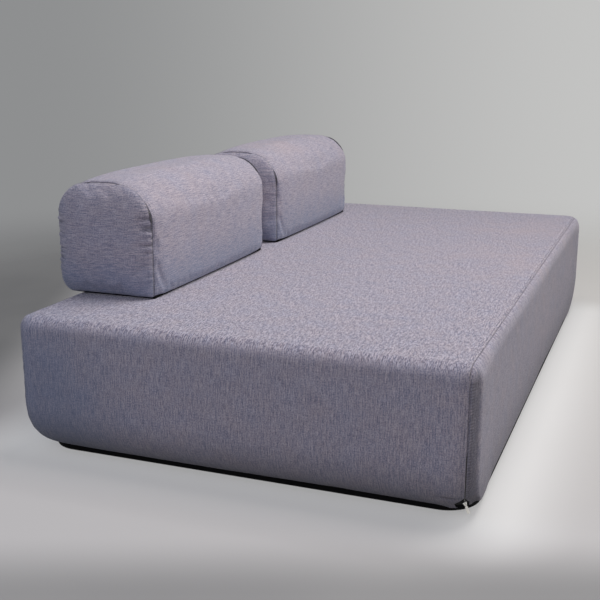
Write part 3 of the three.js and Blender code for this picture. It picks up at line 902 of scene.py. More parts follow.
@dataclass(frozen=True)
class SeatForm:
    """The outer form of the seat: tucked foot, upright sides, round edge and crowned top."""

    half_length: float = 1.110
    half_depth: float = 0.6115
    edge_height: float = 0.397
    crown: float = 0.003
    crown_reach: float = 0.180
    top_radius: float = 0.036
    corner_radius: float = 0.056
    foot_corner_radius: float = 0.095
    side_bulge: float = 0.006
    hem: float = 0.014
    tuck_top: float = 0.154
    end_tuck: float = 0.107
    side_tuck: float = 0.011
    seam_inset: float = 0.017
    middle_y: float = -0.0135

    @property
    def round_foot(self) -> float:
        """Height at which the round of the top edge starts."""
        return self.edge_height - self.top_radius

    @property
    def seam_sine(self) -> float:
        """Sine of the turn round a corner at which its seam stands."""
        return 1 - self.seam_inset / self.corner_radius

    @property
    def seam_runs(self) -> tuple[float, float]:
        """How far the corner seam runs in at the hem, along and across the seat."""
        sine = self.seam_sine
        growth = (self.foot_corner_radius - self.corner_radius) / self.end_tuck
        along = self.end_tuck * (1 + (1 - math.sqrt(1 - sine**2)) * growth)
        across = self.side_tuck + (1 - sine) * growth * self.end_tuck
        return along, across

    def tuck(self, height: float) -> float:
        """Share of the whole tuck at a height, from 0 above the tuck to 1 at the hem."""
        if height >= self.tuck_top:
            return 0.0
        run = math.hypot(*self.seam_runs)
        full = self.tuck_top - self.hem
        radius = (full**2 + run**2) / (2 * run)
        return (radius - math.sqrt(radius**2 - (self.tuck_top - height) ** 2)) / run

    def ring(self, height: float) -> tuple[float, float, float]:
        """Half length, half depth and corner radius at a height."""
        share = self.tuck(height)
        radius = self.corner_radius + (self.foot_corner_radius - self.corner_radius) * share
        return (
            self.half_length - self.end_tuck * share,
            self.half_depth - self.side_tuck * share,
            radius,
        )

    def seam(self, height: float) -> tuple[float, float]:
        """Where the corner seam is at a height, along and across the seat."""
        share = self.tuck(height)
        along, across = self.seam_runs
        seam_x = self.half_length - self.corner_radius * (1 - math.sqrt(1 - self.seam_sine**2))
        return seam_x - along * share, self.half_depth - self.seam_inset - across * share

    def end_reach(self, across: float, height: float) -> float:
        """How far along the seat an end face stands, at a place across it."""
        length, depth, radius = self.ring(height)
        past = max(abs(across) - (depth - radius), 0.0)
        return length - radius + math.sqrt(max(radius**2 - past**2, 0.0))

    def side_reach(self, along: float, height: float) -> float:
        """How far across the seat a side face stands, at a place along it."""
        length, depth, radius = self.ring(height)
        past = max(abs(along) - (length - radius), 0.0)
        return depth - radius + math.sqrt(max(radius**2 - past**2, 0.0))

    def top(self, along: float, across: float) -> float:
        """Height of the top at a place, with its round edge and its crown."""
        radius = self.corner_radius
        from_end = self.half_length - abs(along)
        from_side = self.half_depth - abs(across)
        inside = min(from_end, from_side)
        if from_end < radius and from_side < radius:
            inside = radius - math.hypot(radius - from_end, radius - from_side)
        if inside < self.top_radius:
            left = self.top_radius - max(inside, 0.0)
            return self.round_foot + math.sqrt(self.top_radius**2 - left**2)
        share = min((inside - self.top_radius) / self.crown_reach, 1.0)
        return self.edge_height + self.crown * (1 - (1 - share) ** 2)

    def placed(self, along: float, across: float, height: float) -> Vector:
        """Place a point, with the bulge of the long sides."""
        share = (height - self.hem) / (self.edge_height - self.hem)
        bulge = self.side_bulge * (1 - (along / self.half_length) ** 2)
        swell = bulge * math.sin(math.pi * min(max(share, 0.0), 1.0)) / self.half_depth
        return Vector((along, across * (1 + swell) + self.middle_y, height))


@dataclass
class Stitching:
    """Topstitches laid along a cloth's surface, flattened and half sunk into it."""

    surface: BVHTree
    pitch: float = 0.0046
    length: float = 0.0034
    radius: float = 0.00042
    flatness: float = 0.8
    lift: float = 0.35

    def sew(self, paths: list[list[Vector]], name: str) -> bpy.types.Object:
        """Lay stitches along some lines.

        Args:
            paths: The lines.
            name: The name of the piece.

        Returns:
            The piece.
        """
        mesh = bmesh.new()
        for path in paths:
            points = even_points(path, max(1, round(path_lengths(path)[-1] / self.pitch)))
            for before, after in zip(points, points[1:]):
                self._stitch(mesh, before, after)
        return as_piece(mesh, name)

    def _stitch(self, mesh: bmesh.types.BMesh, before: Vector, after: Vector) -> None:
        """Add one stitch.

        Args:
            mesh: The stitches.
            before: Where its stretch of the line starts.
            after: Where the stretch ends.
        """
        place, normal, _, _ = self.surface.find_nearest((before + after) / 2)
        along = (after - before).normalized()
        along = (along - normal * along.dot(normal)).normalized()
        turn = Matrix((along, normal.cross(along), normal)).transposed().to_4x4()
        size = Matrix.Diagonal((self.length / 2, self.radius, self.radius * self.flatness, 1.0))
        shift = Matrix.Translation(place + normal * self.radius * self.lift)
        bmesh.ops.create_icosphere(mesh, subdivisions=1, radius=1.0, matrix=shift @ turn @ size)


@dataclass(frozen=True)
class Ridge:
    """A ridge that runs beside a seam, a groove where its height is below 0, or a mark there."""

    height: float
    offset: float
    reach: float

    def at(self, gap: float) -> float:
        """How far the cloth stands out, or how strong the mark is, at a distance from the seam."""
        return self.height * fade(gap - self.offset, self.reach)


@dataclass(frozen=True)
class ZipEnd:
    """How the seat's cloths part and lie flat along the zip at the near front corner.

    The zip's slider runs between the heights slider_foot and slider_top, in the cloth that is
    nearer to the seam than slider_side.
    """

    slit: float = 0.0001
    slit_ends: Span = (0.33, 0.35)
    raggedness: float = 0.9
    ragged_rate: float = 55.0
    closing: float = 0.4
    foot: float = 0.038
    top: float = 0.064
    wrap_width: float = 0.022
    side_width: float = 0.012
    roundness: float = 1.15
    flap_y: float = 0.570
    flap_reach: float = 0.024
    flare: float = 0.0042
    flare_ends: Span = (0.016, 0.036)
    fold_z: float = 0.0655
    fold_depth: float = 0.0022
    fold_reach: float = 0.0026
    fold_slope: float = 0.11
    # Painted shade in the flap's fold.
    fold_painted_shade: float = 0.65
    sunk: float = -0.0008
    slider_foot: Span = (0.024, 0.032)
    slider_top: Span = (0.175, 0.215)
    slider_side: Span = (0.009, 0.020)

    def notch(self, height: float, width: float) -> float:
        """How far a cloth's edge is from the corner seam along the zip and at its open foot.

        Args:
            height: The height.
            width: How far the cloth draws back at the notch's foot.

        Returns:
            The distance.
        """
        ragged = 1 + self.raggedness * wander(height * self.ragged_rate, 0.0, 8.0)
        slit = self.slit * ragged * (1 - ease(height, *self.slit_ends))
        above = (height - self.foot) / (self.top - self.foot)
        if above >= 1:
            return slit
        closing = 1 - self.closing * max(-above, 0.0)
        return slit + width * closing * (1 - max(above, 0.0)) ** self.roundness

    def flap(self, place: Vector) -> tuple[float, float]:
        """Shape the loose flap beside the zip's open foot.

        Args:
            place: A point of the wrapping cloth.

        Returns:
            How proud the flap stands there and the painted shade in its fold.
        """
        beside = fade(place.y + self.flap_y, self.flap_reach)
        level = place.z - self.fold_slope * (place.y + self.flap_y)
        fold = fade(level - self.fold_z, self.fold_reach)
        flare = self.flare * (1 - ease(place.z, *self.flare_ends))
        return beside * (flare - self.fold_depth * fold), self.fold_painted_shade * beside * fold

    def cleared(self, proud: float, gap: float, height: float) -> float:
        """Press the cloth flat where the zip's slider runs.

        Args:
            proud: How proud the cloth stands.
            gap: Its distance from the corner seam.
            height: Its height.

        Returns:
            How proud it stands beside the zip.
        """
        near = hump(height, self.slider_foot, self.slider_top) * (1 - ease(gap, *self.slider_side))
        return proud + (min(proud, self.sunk) - proud) * near


@dataclass
class SeatRow:
    """One row of the wrapping cloth, from the near hem over the top to the far hem."""

    end: int
    height: float | None
    inset: float
    path: float


@dataclass
class SeatCover:
    """The seat's cover: a cloth that wraps both ends and the top, and two long side panels.

    The rows are steps between the cloth's points, from the top downwards or from the hem upwards.
    The spans and ridges are measured from the nearer seam, and the hem's are places across the
    seat. All lengths are in metres.
    """

    form: SeatForm = field(default_factory=SeatForm)
    zip_end: ZipEnd = field(default_factory=ZipEnd)
    thickness: float = 0.0014
    fine: float = 0.004
    middling: float = 0.0065
    coarse: float = 0.013
    low_rows: Triple = (0.003, 0.006, 0.008)
    low_rows_top: float = 0.076
    side_rows: Triple = (0.009, 0.008, 0.003)
    side_rows_top: float = 0.070
    round_turn: float = 0.12
    shoulder: tuple[float, ...] = (0.0, 0.08, 0.18, 0.32, 0.5, 0.7, 0.88, 1.0)
    least_shoulder: float = 0.02
    seam_edge: float = 0.0015
    border: float = 0.055
    side_border: float = 0.090
    square_off: float = 0.16
    cut: float = 0.0175
    eased: float = 0.1
    hem_top: float = 0.040
    hem_flap: Ridge = Ridge(0.0025, -0.550, 0.018)
    hem_lift: float = 0.006
    hem_lift_starts: Span = (0.50, 0.56)
    hem_sway: float = 0.0012
    hem_sway_rate: float = 9.0
    side_hem_top: float = 0.036
    side_hem_drop: float = 0.0032
    side_eased: float = 0.03
    flap_top: float = 0.090
    wrap_slack: float = 0.0013
    wrap_slack_rates: Triple = (2.2, 2.2, 3.0)
    wrap_gathers: Ridge = Ridge(0.0006, 0.0, 0.022)
    wrap_roll: Ridge = Ridge(0.0009, 0.012, 0.008)
    wrap_lip: Ridge = Ridge(0.0013, 0.0, 0.007)
    top_groove: Ridge = Ridge(-0.0012, 0.0, 0.0022)
    wrap_stitches: Ridge = Ridge(-0.0006, 0.007, 0.0022)
    wrap_puckers: Ridge = Ridge(0.6, 0.006, 0.010)
    top_calm: float = 0.25
    top_sunk: float = 0.0006
    gather_rate: float = 42.0
    side_slack: float = 0.0020
    side_slack_rates: tuple[float, float] = (2.6, 3.2)
    side_fold_rates: tuple[float, float] = (66.0, 9.0)
    side_slack_starts: Span = (0.0, 0.08)
    side_gathers: Ridge = Ridge(0.0009, 0.0, 0.03)
    side_folds: Ridge = Ridge(0.0016, 0.012, 0.014)
    side_upright: Span = (0.004, 0.05)
    side_lip: float = 0.0048
    side_lip_spans: tuple[Span, Span] = ((0.024, 0.044), (0.07, 0.24))
    side_dip: Ridge = Ridge(0.0009, 0.017, 0.010)
    side_roll: Ridge = Ridge(0.0010, 0.010, 0.007)
    side_edge: Ridge = Ridge(0.0008, 0.007, 0.003)
    corner_lip: Ridge = Ridge(0.0014, 0.0, 0.007)
    side_calm: Ridge = Ridge(0.8, 0.0, 0.03)
    side_proud: float = 0.0006
    top_puckers: Ridge = Ridge(0.5, 0.007, 0.010)
    corner_puckers: Ridge = Ridge(1.0, 0.010, 0.014)
    ticks: Ridge = Ridge(1.0, 0.008, 0.006)
    tick_starts: Span = (0.01, 0.05)
    seam_dark: float = 0.35
    seam_reach: float = 0.0008
    corner_seam_reach: float = 0.0009
    # Painted shade in a band beside the corner seams of the long sides.
    painted_band_shade: float = 0.5
    band_spans: tuple[Span, Span] = ((0.001, 0.006), (0.024, 0.040))
    stitch_offset: float = 0.0065
    stitch_step: float = 0.01
    stitch_foot: float = 0.046
    lining_inset: float = 0.0016
    lining_cells: int = 720
    lining_step: float = 0.12
    lining_foot: float = 0.0012
    lining_top: float = 0.032
    lining_rise: Ridge = Ridge(0.040, 0.0, 0.06)
    lining_thickness: float = 0.0004
    zip_way: tuple[float, float] = (-1.0, -0.56)
    surface: BVHTree | None = None

    def end_heights(self) -> list[float]:
        """Heights of the rows on an end, from the hem up to the round edge."""
        form = self.form
        low, middle, high = self.low_rows
        rows = spread(self.cut, self.low_rows_top, low)
        rows += spread(self.low_rows_top, form.tuck_top, middle)[1:]
        return rows + spread(form.tuck_top, form.round_foot, high)[1:]

    def top_insets(self) -> list[float]:
        """Distances in from the end of the rows over the round edge and half the top."""
        form = self.form
        turns = spread(0.0, math.pi / 2, self.round_turn)
        rounded = [form.top_radius * (1 - math.cos(turn)) for turn in turns]
        return rounded + spread(form.top_radius, form.half_length, self.middling)[1:]

    def wrap_rows(self) -> list[SeatRow]:
        """All rows of the wrapping cloth with their length along it."""
        half: list[tuple[float | None, float]] = [(height, 0.0) for height in self.end_heights()]
        half += [(None, inset) for inset in self.top_insets()[1:]]
        lengths = list(accumulate(map(self._step, half, half[1:]), initial=0.0))
        total = lengths[-1]
        near = [SeatRow(-1, h, i, p) for (h, i), p in zip(half, lengths)]
        far = [SeatRow(1, h, i, 2 * total - p) for (h, i), p in zip(half, lengths)]
        return near + far[::-1][1:]

    def _step(self, before: tuple[float | None, float], after: tuple[float | None, float]) -> float:
        """Length of cloth between two rows at the middle of an end."""
        places = []
        for height, inset in (before, after):
            reach = self.form.end_reach(0.0, self.form.round_foot if height is None else height)
            along = reach - inset
            places.append((along, self.form.top(along, 0.0) if height is None else height))
        return math.dist(*places)

    def shares(self, half: float) -> list[float]:
        """Shares from -1 to 1 across a panel, finer in a border beside its seams.

        Args:
            half: Half the panel's width.

        Returns:
            The shares in order.
        """
        inner = half - self.border
        positive = spread(0.0, inner, self.coarse) + spread(inner, half, self.fine)[1:]
        positive.insert(-1, half - self.seam_edge)
        shares = [value / half for value in positive]
        return [-share for share in shares[:0:-1]] + shares

    def wrap(self) -> bpy.types.Object:
        """Make the cloth that wraps the ends and the top."""
        form = self.form
        rows = self.wrap_rows()
        shares = self.shares(form.half_depth - form.seam_inset)
        panel = Panel("seat_cover_wrap_cloth", len(shares), len(rows))

        def at(column: int, row: int) -> ClothPoint:
            """Place one point."""
            return self._wrap_point(rows[row], shares[column])

        panel.lay(at, outwards=False)
        piece = panel.sew(self.thickness)
        self.surface = panel.surface
        return piece

    def _wrap_point(self, row: SeatRow, share: float) -> ClothPoint:
        """Place one point of the wrapping cloth.

        Args:
            row: Its row.
            share: Its share across, -1 at the front seam.

        Returns:
            The point.
        """
        form = self.form
        if row.height is None:
            across = share * form.seam(form.round_foot)[1]
            edge = form.end_reach(across, form.round_foot)
            square = ease(row.inset, 0.0, self.square_off)
            along = form.half_length - row.inset - (form.half_length - edge) * (1 - square)
            place = form.placed(row.end * along, across, form.top(along, across))
            gap = (1 - abs(share)) * form.seam(form.round_foot)[1]
        else:
            height = row.height
            seam_y = form.seam(height)[1]
            notch = 0.0
            if row.end < 0 and share < 0:
                notch = self.zip_end.notch(height, self.zip_end.wrap_width)
            across = share * (seam_y - self._eased_in(notch, 1 - abs(share)))
            drop = self._hem_drop(row.end, across, height)
            along = form.end_reach(across, height)
            place = form.placed(row.end * along, across, height - drop)
            gap = (1 - abs(share)) * seam_y
        proud, seam = self._wrap_relief(row, place, gap)
        return ClothPoint(place, (row.path, place.y), proud, seam, self.wrap_puckers.at(gap))

    def _eased_in(self, notch: float, inwards: float) -> float:
        """Let a shift of the cloth's edge die out over a share of its width."""
        return notch * (1 - ease(inwards, 0.0, self.eased))

    def _hem_drop(self, end: int, across: float, height: float) -> float:
        """Let the hem sway, with a loose flap in front and a lifted hem behind.

        Args:
            end: -1 at the near end, 1 at the far end.
            across: The place across the seat.
            height: The height.

        Returns:
            How far the cloth hangs below its line.
        """
        low = 1 - ease(height, self.cut, self.hem_top)
        if end > 0 or low <= 0:
            return 0.0
        lifted = self.hem_lift * ease(across, *self.hem_lift_starts)
        sway = self.hem_sway * wander(across * self.hem_sway_rate, 0.0, 3.0)
        return low * (self.hem_flap.at(across) - lifted + sway)

    def _wrap_relief(self, row: SeatRow, place: Vector, gap: float) -> tuple[float, float]:
        """Folds and seam of the wrapping cloth at a point.

        Args:
            row: The point's row.
            place: The point.
            gap: Its distance from the nearer side seam.

        Returns:
            How proud it stands, and how dark its seam and the painted shade of the flap's fold are.
        """
        near_end = row.end < 0 and row.height is not None
        on_top = row.height is None and row.inset > self.form.top_radius
        calm = self.top_calm if on_top else 1.0
        rates = self.wrap_slack_rates
        level = place.y * rates[1] + place.z * rates[2]
        slack = self.wrap_slack * calm * wander(place.x * rates[0], level, 1.0)
        gathers = wander(row.path * self.gather_rate, place.y, 5.0) * self.wrap_gathers.at(gap)
        edge = self.top_groove if row.height is None else self.wrap_lip
        ridges = self.wrap_roll.at(gap) + edge.at(gap) + self.wrap_stitches.at(gap)
        proud = slack + gathers + ridges - (self.top_sunk if on_top else 0.0)
        fold = 0.0
        if near_end and row.height < self.flap_top:
            lift, fold = self.zip_end.flap(place)
            proud += lift
        if near_end and place.y < self.form.middle_y:
            proud = self.zip_end.cleared(proud, gap, place.z)
        # The flap's fold adds painted shade to the seam mark.
        return proud, max(self.seam_dark * fade(gap, self.seam_reach), fold)

    def side_heights(self) -> list[float]:
        """Heights of the rows on a long side, from the round edge down to the hem."""
        form = self.form
        high, middle, low = self.side_rows
        rows = spread(form.round_foot, form.tuck_top, high)[1:]
        rows += spread(form.tuck_top, self.side_rows_top, middle)[1:]
        return rows + spread(self.side_rows_top, self.cut, low)[1:]

    def side(self, name: str, sign: int) -> bpy.types.Object:
        """Make the panel of a long side.

        Args:
            name: The name of the piece.
            sign: -1 in front, 1 behind.

        Returns:
            The piece.
        """
        form = self.form
        inner = form.half_length - self.side_border
        seam_x = form.seam(form.round_foot)[0]
        stations = spread(0.0, inner, self.middling) + spread(inner, seam_x, self.fine)[1:]
        shares = [value / seam_x for value in stations]
        shares = [-share for share in shares[:0:-1]] + shares
        rows: list[tuple[float | None, float]] = [(None, share) for share in self.shoulder]
        rows += [(height, 0.0) for height in self.side_heights()]
        paths = self._side_paths(rows)
        panel = Panel(name, len(shares), len(rows))

        def at(column: int, row: int) -> ClothPoint:
            """Place one point."""
            height, shoulder_share = rows[row]
            return self._side_point(sign, shares[column], height, shoulder_share, paths[row])

        panel.lay(at, outwards=sign > 0)
        return panel.sew(self.thickness)

    def _side_paths(self, rows: list[tuple[float | None, float]]) -> list[float]:
        """Length of cloth from the top seam down to each row, at the middle of the side."""
        form = self.form
        inner = form.half_depth - form.seam_inset
        places = []
        for height, share in rows:
            if height is None:
                across = inner + form.seam_inset * share
                places.append((across, form.top(0.0, across)))
            else:
                places.append((form.side_reach(0.0, height), height))
        return list(accumulate(map(math.dist, places, places[1:]), initial=0.0))

    def _side_point(
        self, sign: int, share: float, height: float | None, shoulder: float, path: float
    ) -> ClothPoint:
        """Place one point of a long side's panel.

        Args:
            sign: -1 in front, 1 behind.
            share: Its share along, -1 at the near seam.
            height: Its height below the round edge, or None on the edge itself.
            shoulder: Its share over the edge, from the top seam.
            path: Its distance down the cloth from the top seam.

        Returns:
            The point.
        """
        form = self.form
        if height is None:
            seam_x, seam_y = form.seam(form.round_foot)
            along = share * seam_x
            edge = form.side_reach(along, form.round_foot)
            across = seam_y + (edge - seam_y) * shoulder
            place = form.placed(along, sign * across, form.top(along, across))
            gap_top = path * max((edge - seam_y) / form.seam_inset, self.least_shoulder)
        else:
            open_end = sign < 0 and share < 0
            notch = self.zip_end.notch(height, self.zip_end.side_width) if open_end else 0.0
            seam_x = form.seam(height)[0]
            along = share * (seam_x - self._eased_in(notch, 1 - abs(share)))
            across = form.side_reach(along, height)
            drop = self.side_hem_drop * (1 - ease(height, self.cut, self.side_hem_top))
            drop *= 1.0 if open_end else ease(1 - abs(share), 0.0, self.side_eased)
            place = form.placed(along, sign * across, height - drop)
            gap_top = path
        gap_corner = (1 - abs(share)) * seam_x
        proud, seam = self._side_relief(sign, place, gap_top, gap_corner, height is None)
        puckers = max(self.top_puckers.at(gap_top), self.corner_puckers.at(gap_corner))
        tick = self.ticks.at(gap_corner) * ease(gap_top, *self.tick_starts)
        return ClothPoint(place, (path, place.x), proud, seam, puckers, tick)

    def _side_relief(
        self, sign: int, place: Vector, gap_top: float, gap_corner: float, shoulder: bool
    ) -> tuple[float, float]:
        """Folds and seams of a long side's panel at a point.

        Args:
            sign: -1 in front, 1 behind.
            place: The point.
            gap_top: Its distance from the top seam.
            gap_corner: Its distance from the nearer corner seam.
            shoulder: Whether it lies on the round edge.

        Returns:
            How proud it stands, and how dark its seam and the painted shade beside it are.
        """
        seed = 7.0 + sign + (3.0 if place.x > 0 else 0.0)
        along, up = self.side_slack_rates
        slack = self.side_slack * wander(place.x * along, place.z * up, seed)
        slack *= ease(gap_top, *self.side_slack_starts) * (1 - self.side_calm.at(gap_corner))
        gathers = wander(place.x * self.gather_rate, place.z, seed + 9)
        gathers *= self.side_gathers.at(gap_top)
        up, along = self.side_fold_rates
        folds = wander(place.z * up, place.x * along, seed + 4) * self.side_folds.at(gap_corner)
        corner = folds + self.side_lip * hump(gap_corner, *self.side_lip_spans)
        corner += self.corner_lip.at(gap_corner) - self.side_dip.at(gap_corner)
        upright = ease(gap_top, *self.side_upright)
        seams = self.top_groove.at(gap_top) + self.side_roll.at(gap_top)
        seams += self.side_edge.at(gap_corner)
        proud = slack + gathers + seams + upright * corner + self.side_proud
        if sign < 0 and place.x < 0 and not shoulder:
            proud = self.zip_end.cleared(proud, gap_corner, place.z)
        seam = max(fade(gap_top, self.seam_reach), fade(gap_corner, self.corner_seam_reach))
        # The band beside the corner seam is painted shade.
        band = self.painted_band_shade * upright * hump(gap_corner, *self.band_spans)
        return proud, max(self.seam_dark * seam, band)

    def seam_paths(self) -> list[list[Vector]]:
        """Lines of the topstitching on the wrapping cloth, beside the top and corner seams."""
        form = self.form
        top_y = form.seam(form.round_foot)[1] - self.stitch_offset
        top_x = form.half_length - form.top_radius
        rows = spread(self.stitch_foot, form.round_foot, self.stitch_step)
        paths = []
        for sign in (-1, 1):
            places = spread(-top_x, top_x, self.stitch_step)
            paths.append([form.placed(x, sign * top_y, form.top(x, top_y)) for x in places])
            for end in (-1, 1):
                path = []
                for z in rows:
                    y = form.seam(z)[1] - self.stitch_offset
                    path.append(form.placed(end * form.end_reach(y, z), sign * y, z))
                paths.append(path)
        return paths

    def lining(self) -> bpy.types.Object:
        """Make the black strip that closes the foot behind the hem."""
        form = self.form
        shares = spread(0.0, 1.0, self.lining_step)
        turns = spread(0.0, math.tau, math.tau / self.lining_cells)
        zip_way = Vector(self.zip_way).normalized()
        panel = Panel("seat_hem_lining", len(turns), len(shares))

        def at(column: int, row: int) -> ClothPoint:
            """Place one point behind the cloth, level with it or lower."""
            way = Vector((math.cos(turns[column]), math.sin(turns[column])))
            top = self.lining_top + self.lining_rise.at((way - zip_way).length)
            level = self.lining_foot + (top - self.lining_foot) * shares[row]
            height = max(level, self.cut)
            length, depth, radius = form.ring(height)
            core = Vector((length - radius, depth - radius))
            reach = self._ring_reach(way, core, radius) - self.lining_inset
            across = form.placed(way.x * reach, way.y * reach, height)
            return ClothPoint(Vector((across.x, across.y, level)), (0.0, 0.0))

        panel.lay(at, outwards=True)
        return panel.sew(self.lining_thickness, 10 * MERGE_GAP)

    @staticmethod
    def _ring_reach(way: Vector, core: Vector, radius: float) -> float:
        """Find how far a rounded rectangle reaches from its middle.

        Args:
            way: The direction, of length 1.
            core: Half the sides of the rectangle between its corners' centres.
            radius: The corners' radius.

        Returns:
            The distance.
        """
        low, high = 0.0, 2 * (core.length + radius)
        for _ in range(HALVINGS):
            reach = (low + high) / 2
            past_x = max(abs(way.x) * reach - core.x, 0.0)
            past_y = max(abs(way.y) * reach - core.y, 0.0)
            if math.hypot(past_x, past_y) < radius:
                low = reach
            else:
                high = reach
        return low

    def build(self, wardrobe: Wardrobe) -> list[bpy.types.Object]:
        """Make, dress and place the panels of the seat's cover, its stitches and its lining.

        Args:
            wardrobe: The finishes.

        Returns:
            The pieces.
        """
        pieces = {
            "seat_cover_wrap": self.wrap(),
            "seat_cover_front_panel": self.side("seat_cover_front_cloth", -1),
            "seat_cover_rear_panel": self.side("seat_cover_rear_cloth", 1),
        }
        for node, piece in pieces.items():
            wardrobe.dress(piece, Finish.MELANGE_CLOTH)
            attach(piece, "seat_block")
            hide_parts(node)
        lining = self.lining()
        wardrobe.dress(lining, Finish.BLACK_CLOTH)
        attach(lining, "seat_block")
        stitches = Stitching(self.surface).sew(self.seam_paths(), "seat_topstitching")
        wardrobe.dress_thread(stitches)
        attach(stitches, "seat_block")
        return [*pieces.values(), lining, stitches]


@dataclass(frozen=True)
class BolsterForm:
    """The outer form of a bolster: a rounded section between two puffed ends."""

    half_length: float = 0.380
    depth: float = 0.304
    height: float = 0.316
    top_radius: float = 0.111
    front_foot_radius: float = 0.008
    rear_foot_radius: float = 0.045
    crown: float = 0.003
    puff: float = 0.036
    puff_reach: float = 0.150
    belly: float = 0.008
    front_y: float = 0.327
    foot_z: float = 0.406
    least_fullness: float = 0.55
    arc_cells: int = 16

    def corners(self) -> list[tuple[float, float, float, float]]:
        """The section's corners from the front foot over the top: place, radius and first turn."""
        return [
            (0.0, 0.0, self.front_foot_radius, 1.5),
            (0.0, self.height, self.top_radius, 1.0),
            (self.depth, self.height, self.top_radius, 0.5),
            (self.depth, 0.0, self.rear_foot_radius, 0.0),
        ]

    def section(self, cells: int) -> list[list[Vector]]:
        """Cut the section's outline into four sides, from the middle of one corner to the next.

        Args:
            cells: Parts of each side.

        Returns:
            Front, top, rear and bottom, each as (y, z) points.
        """
        arcs = []
        shares = [step / (2 * self.arc_cells) for step in range(self.arc_cells + 1)]
        for y, z, radius, first in self.corners():
            centre = Vector((min(max(y, radius), self.depth - radius), 0.0))
            centre.y = min(max(z, radius), self.height - radius)
            turns = [(first - share) * math.pi for share in shares]
            arcs.append([centre + radius * Vector((math.cos(t), math.sin(t))) for t in turns])
        half = self.arc_cells // 2
        pairs = zip(arcs, arcs[1:] + arcs[:1])
        return [even_points(arc[half:] + after[: half + 1], cells) for arc, after in pairs]

    def inside(self, y: float, z: float) -> float:
        """How far a place in the section is from the section's outline."""
        front, low = y < self.depth / 2, z < self.height / 2
        radius = self.top_radius
        if low:
            radius = self.front_foot_radius if front else self.rear_foot_radius
        from_face = min(y, self.depth - y)
        from_base = min(z, self.height - z)
        if from_face < radius and from_base < radius:
            return radius - math.hypot(radius - from_face, radius - from_base)
        return min(from_face, from_base)

    def dome(self, inside: float) -> float:
        """How far an end panel puffs out at a distance in from its seam."""
        left = 1 - min(max(inside, 0.0) / self.puff_reach, 1.0)
        return self.puff * math.sqrt(max(1 - left**2, 0.0))

    def drawn(self, along: float, y: float, z: float, inset: float) -> tuple[float, float]:
        """Draw a place in the section in towards the seams, and fill it out between them.

        Args:
            along: The place along the bolster.
            y: The place across it.
            z: The height.
            inset: How far the whole surface is drawn in.

        Returns:
            The new place across and height.
        """
        share = min(abs(along) / self.half_length, 1.0)
        upwards = math.sin(math.pi * min(z / self.height, 1.0))
        fuller = self.least_fullness + (1 - self.least_fullness) * upwards
        slack = self.crown * share**2 + inset - self.belly * (1 - share**8) * fuller
        across = self.depth / 2 + (y - self.depth / 2) * (1 - 2 * slack / self.depth)
        return across, z * (1 - slack / self.height)


class Part(Enum):
    """The cloths that a bolster's cover is sewn from."""

    WRAP = 0
    LEFT_END = 1
    RIGHT_END = 2
    BASE = 3


@dataclass(frozen=True)
class Pleats:
    """Pleats beside the upright seams of a bolster's end panel.

    The rates are pleats and swells per metre. The spans are heights, distances in from the panel's
    sides, depths of a pleat and distances from the seam.
    """

    height: float = 0.0046
    lift: float = 0.0012
    rate: float = 98.0
    fine_rate: float = 170.0
    fine_share: float = 0.6
    offset: float = 0.006
    reach: float = 0.020
    reach_change: float = 0.012
    reach_rate: float = 30.0
    foot: Span = (0.03, 0.07)
    top: Span = (0.20, 0.27)
    side: Span = (0.03, 0.075)
    # Painted shade in the pleats' creases.
    dark: float = 0.5
    dark_depths: Span = (0.05, 0.5)
    swell: float = 0.0016
    swell_rate: float = 8.0
    swell_starts: Span = (0.0, 0.03)

    def at(self, place: Vector, depth: float, gap: float, seed: float) -> tuple[float, float, float]:
        """Find the pleats at a point.

        Args:
            place: The point.
            depth: The bolster's depth.
            gap: The point's distance from the seam.
            seed: Tells one seam's pleats from another's.

        Returns:
            How proud the pleat stands, the painted shade in its crease and how far the panel swells.
        """
        pleat = wander(place.z * self.rate, seed, 1.0)
        pleat += self.fine_share * wander(place.z * self.fine_rate, seed, 2.0)
        reach = self.reach + self.reach_change * wander(place.z * self.reach_rate, seed, 3.0)
        beside = hump(place.z, self.foot, self.top) * fade(gap - self.offset, reach)
        beside *= 1 - ease(min(place.y, depth - place.y), *self.side)
        swell = self.swell * wander(place.y * self.swell_rate, place.z * self.swell_rate, seed)
        crease = self.dark * ease(-pleat, *self.dark_depths) * beside
        proud = (self.height * pleat + self.lift) * beside
        return proud, crease, swell * ease(gap, *self.swell_starts)


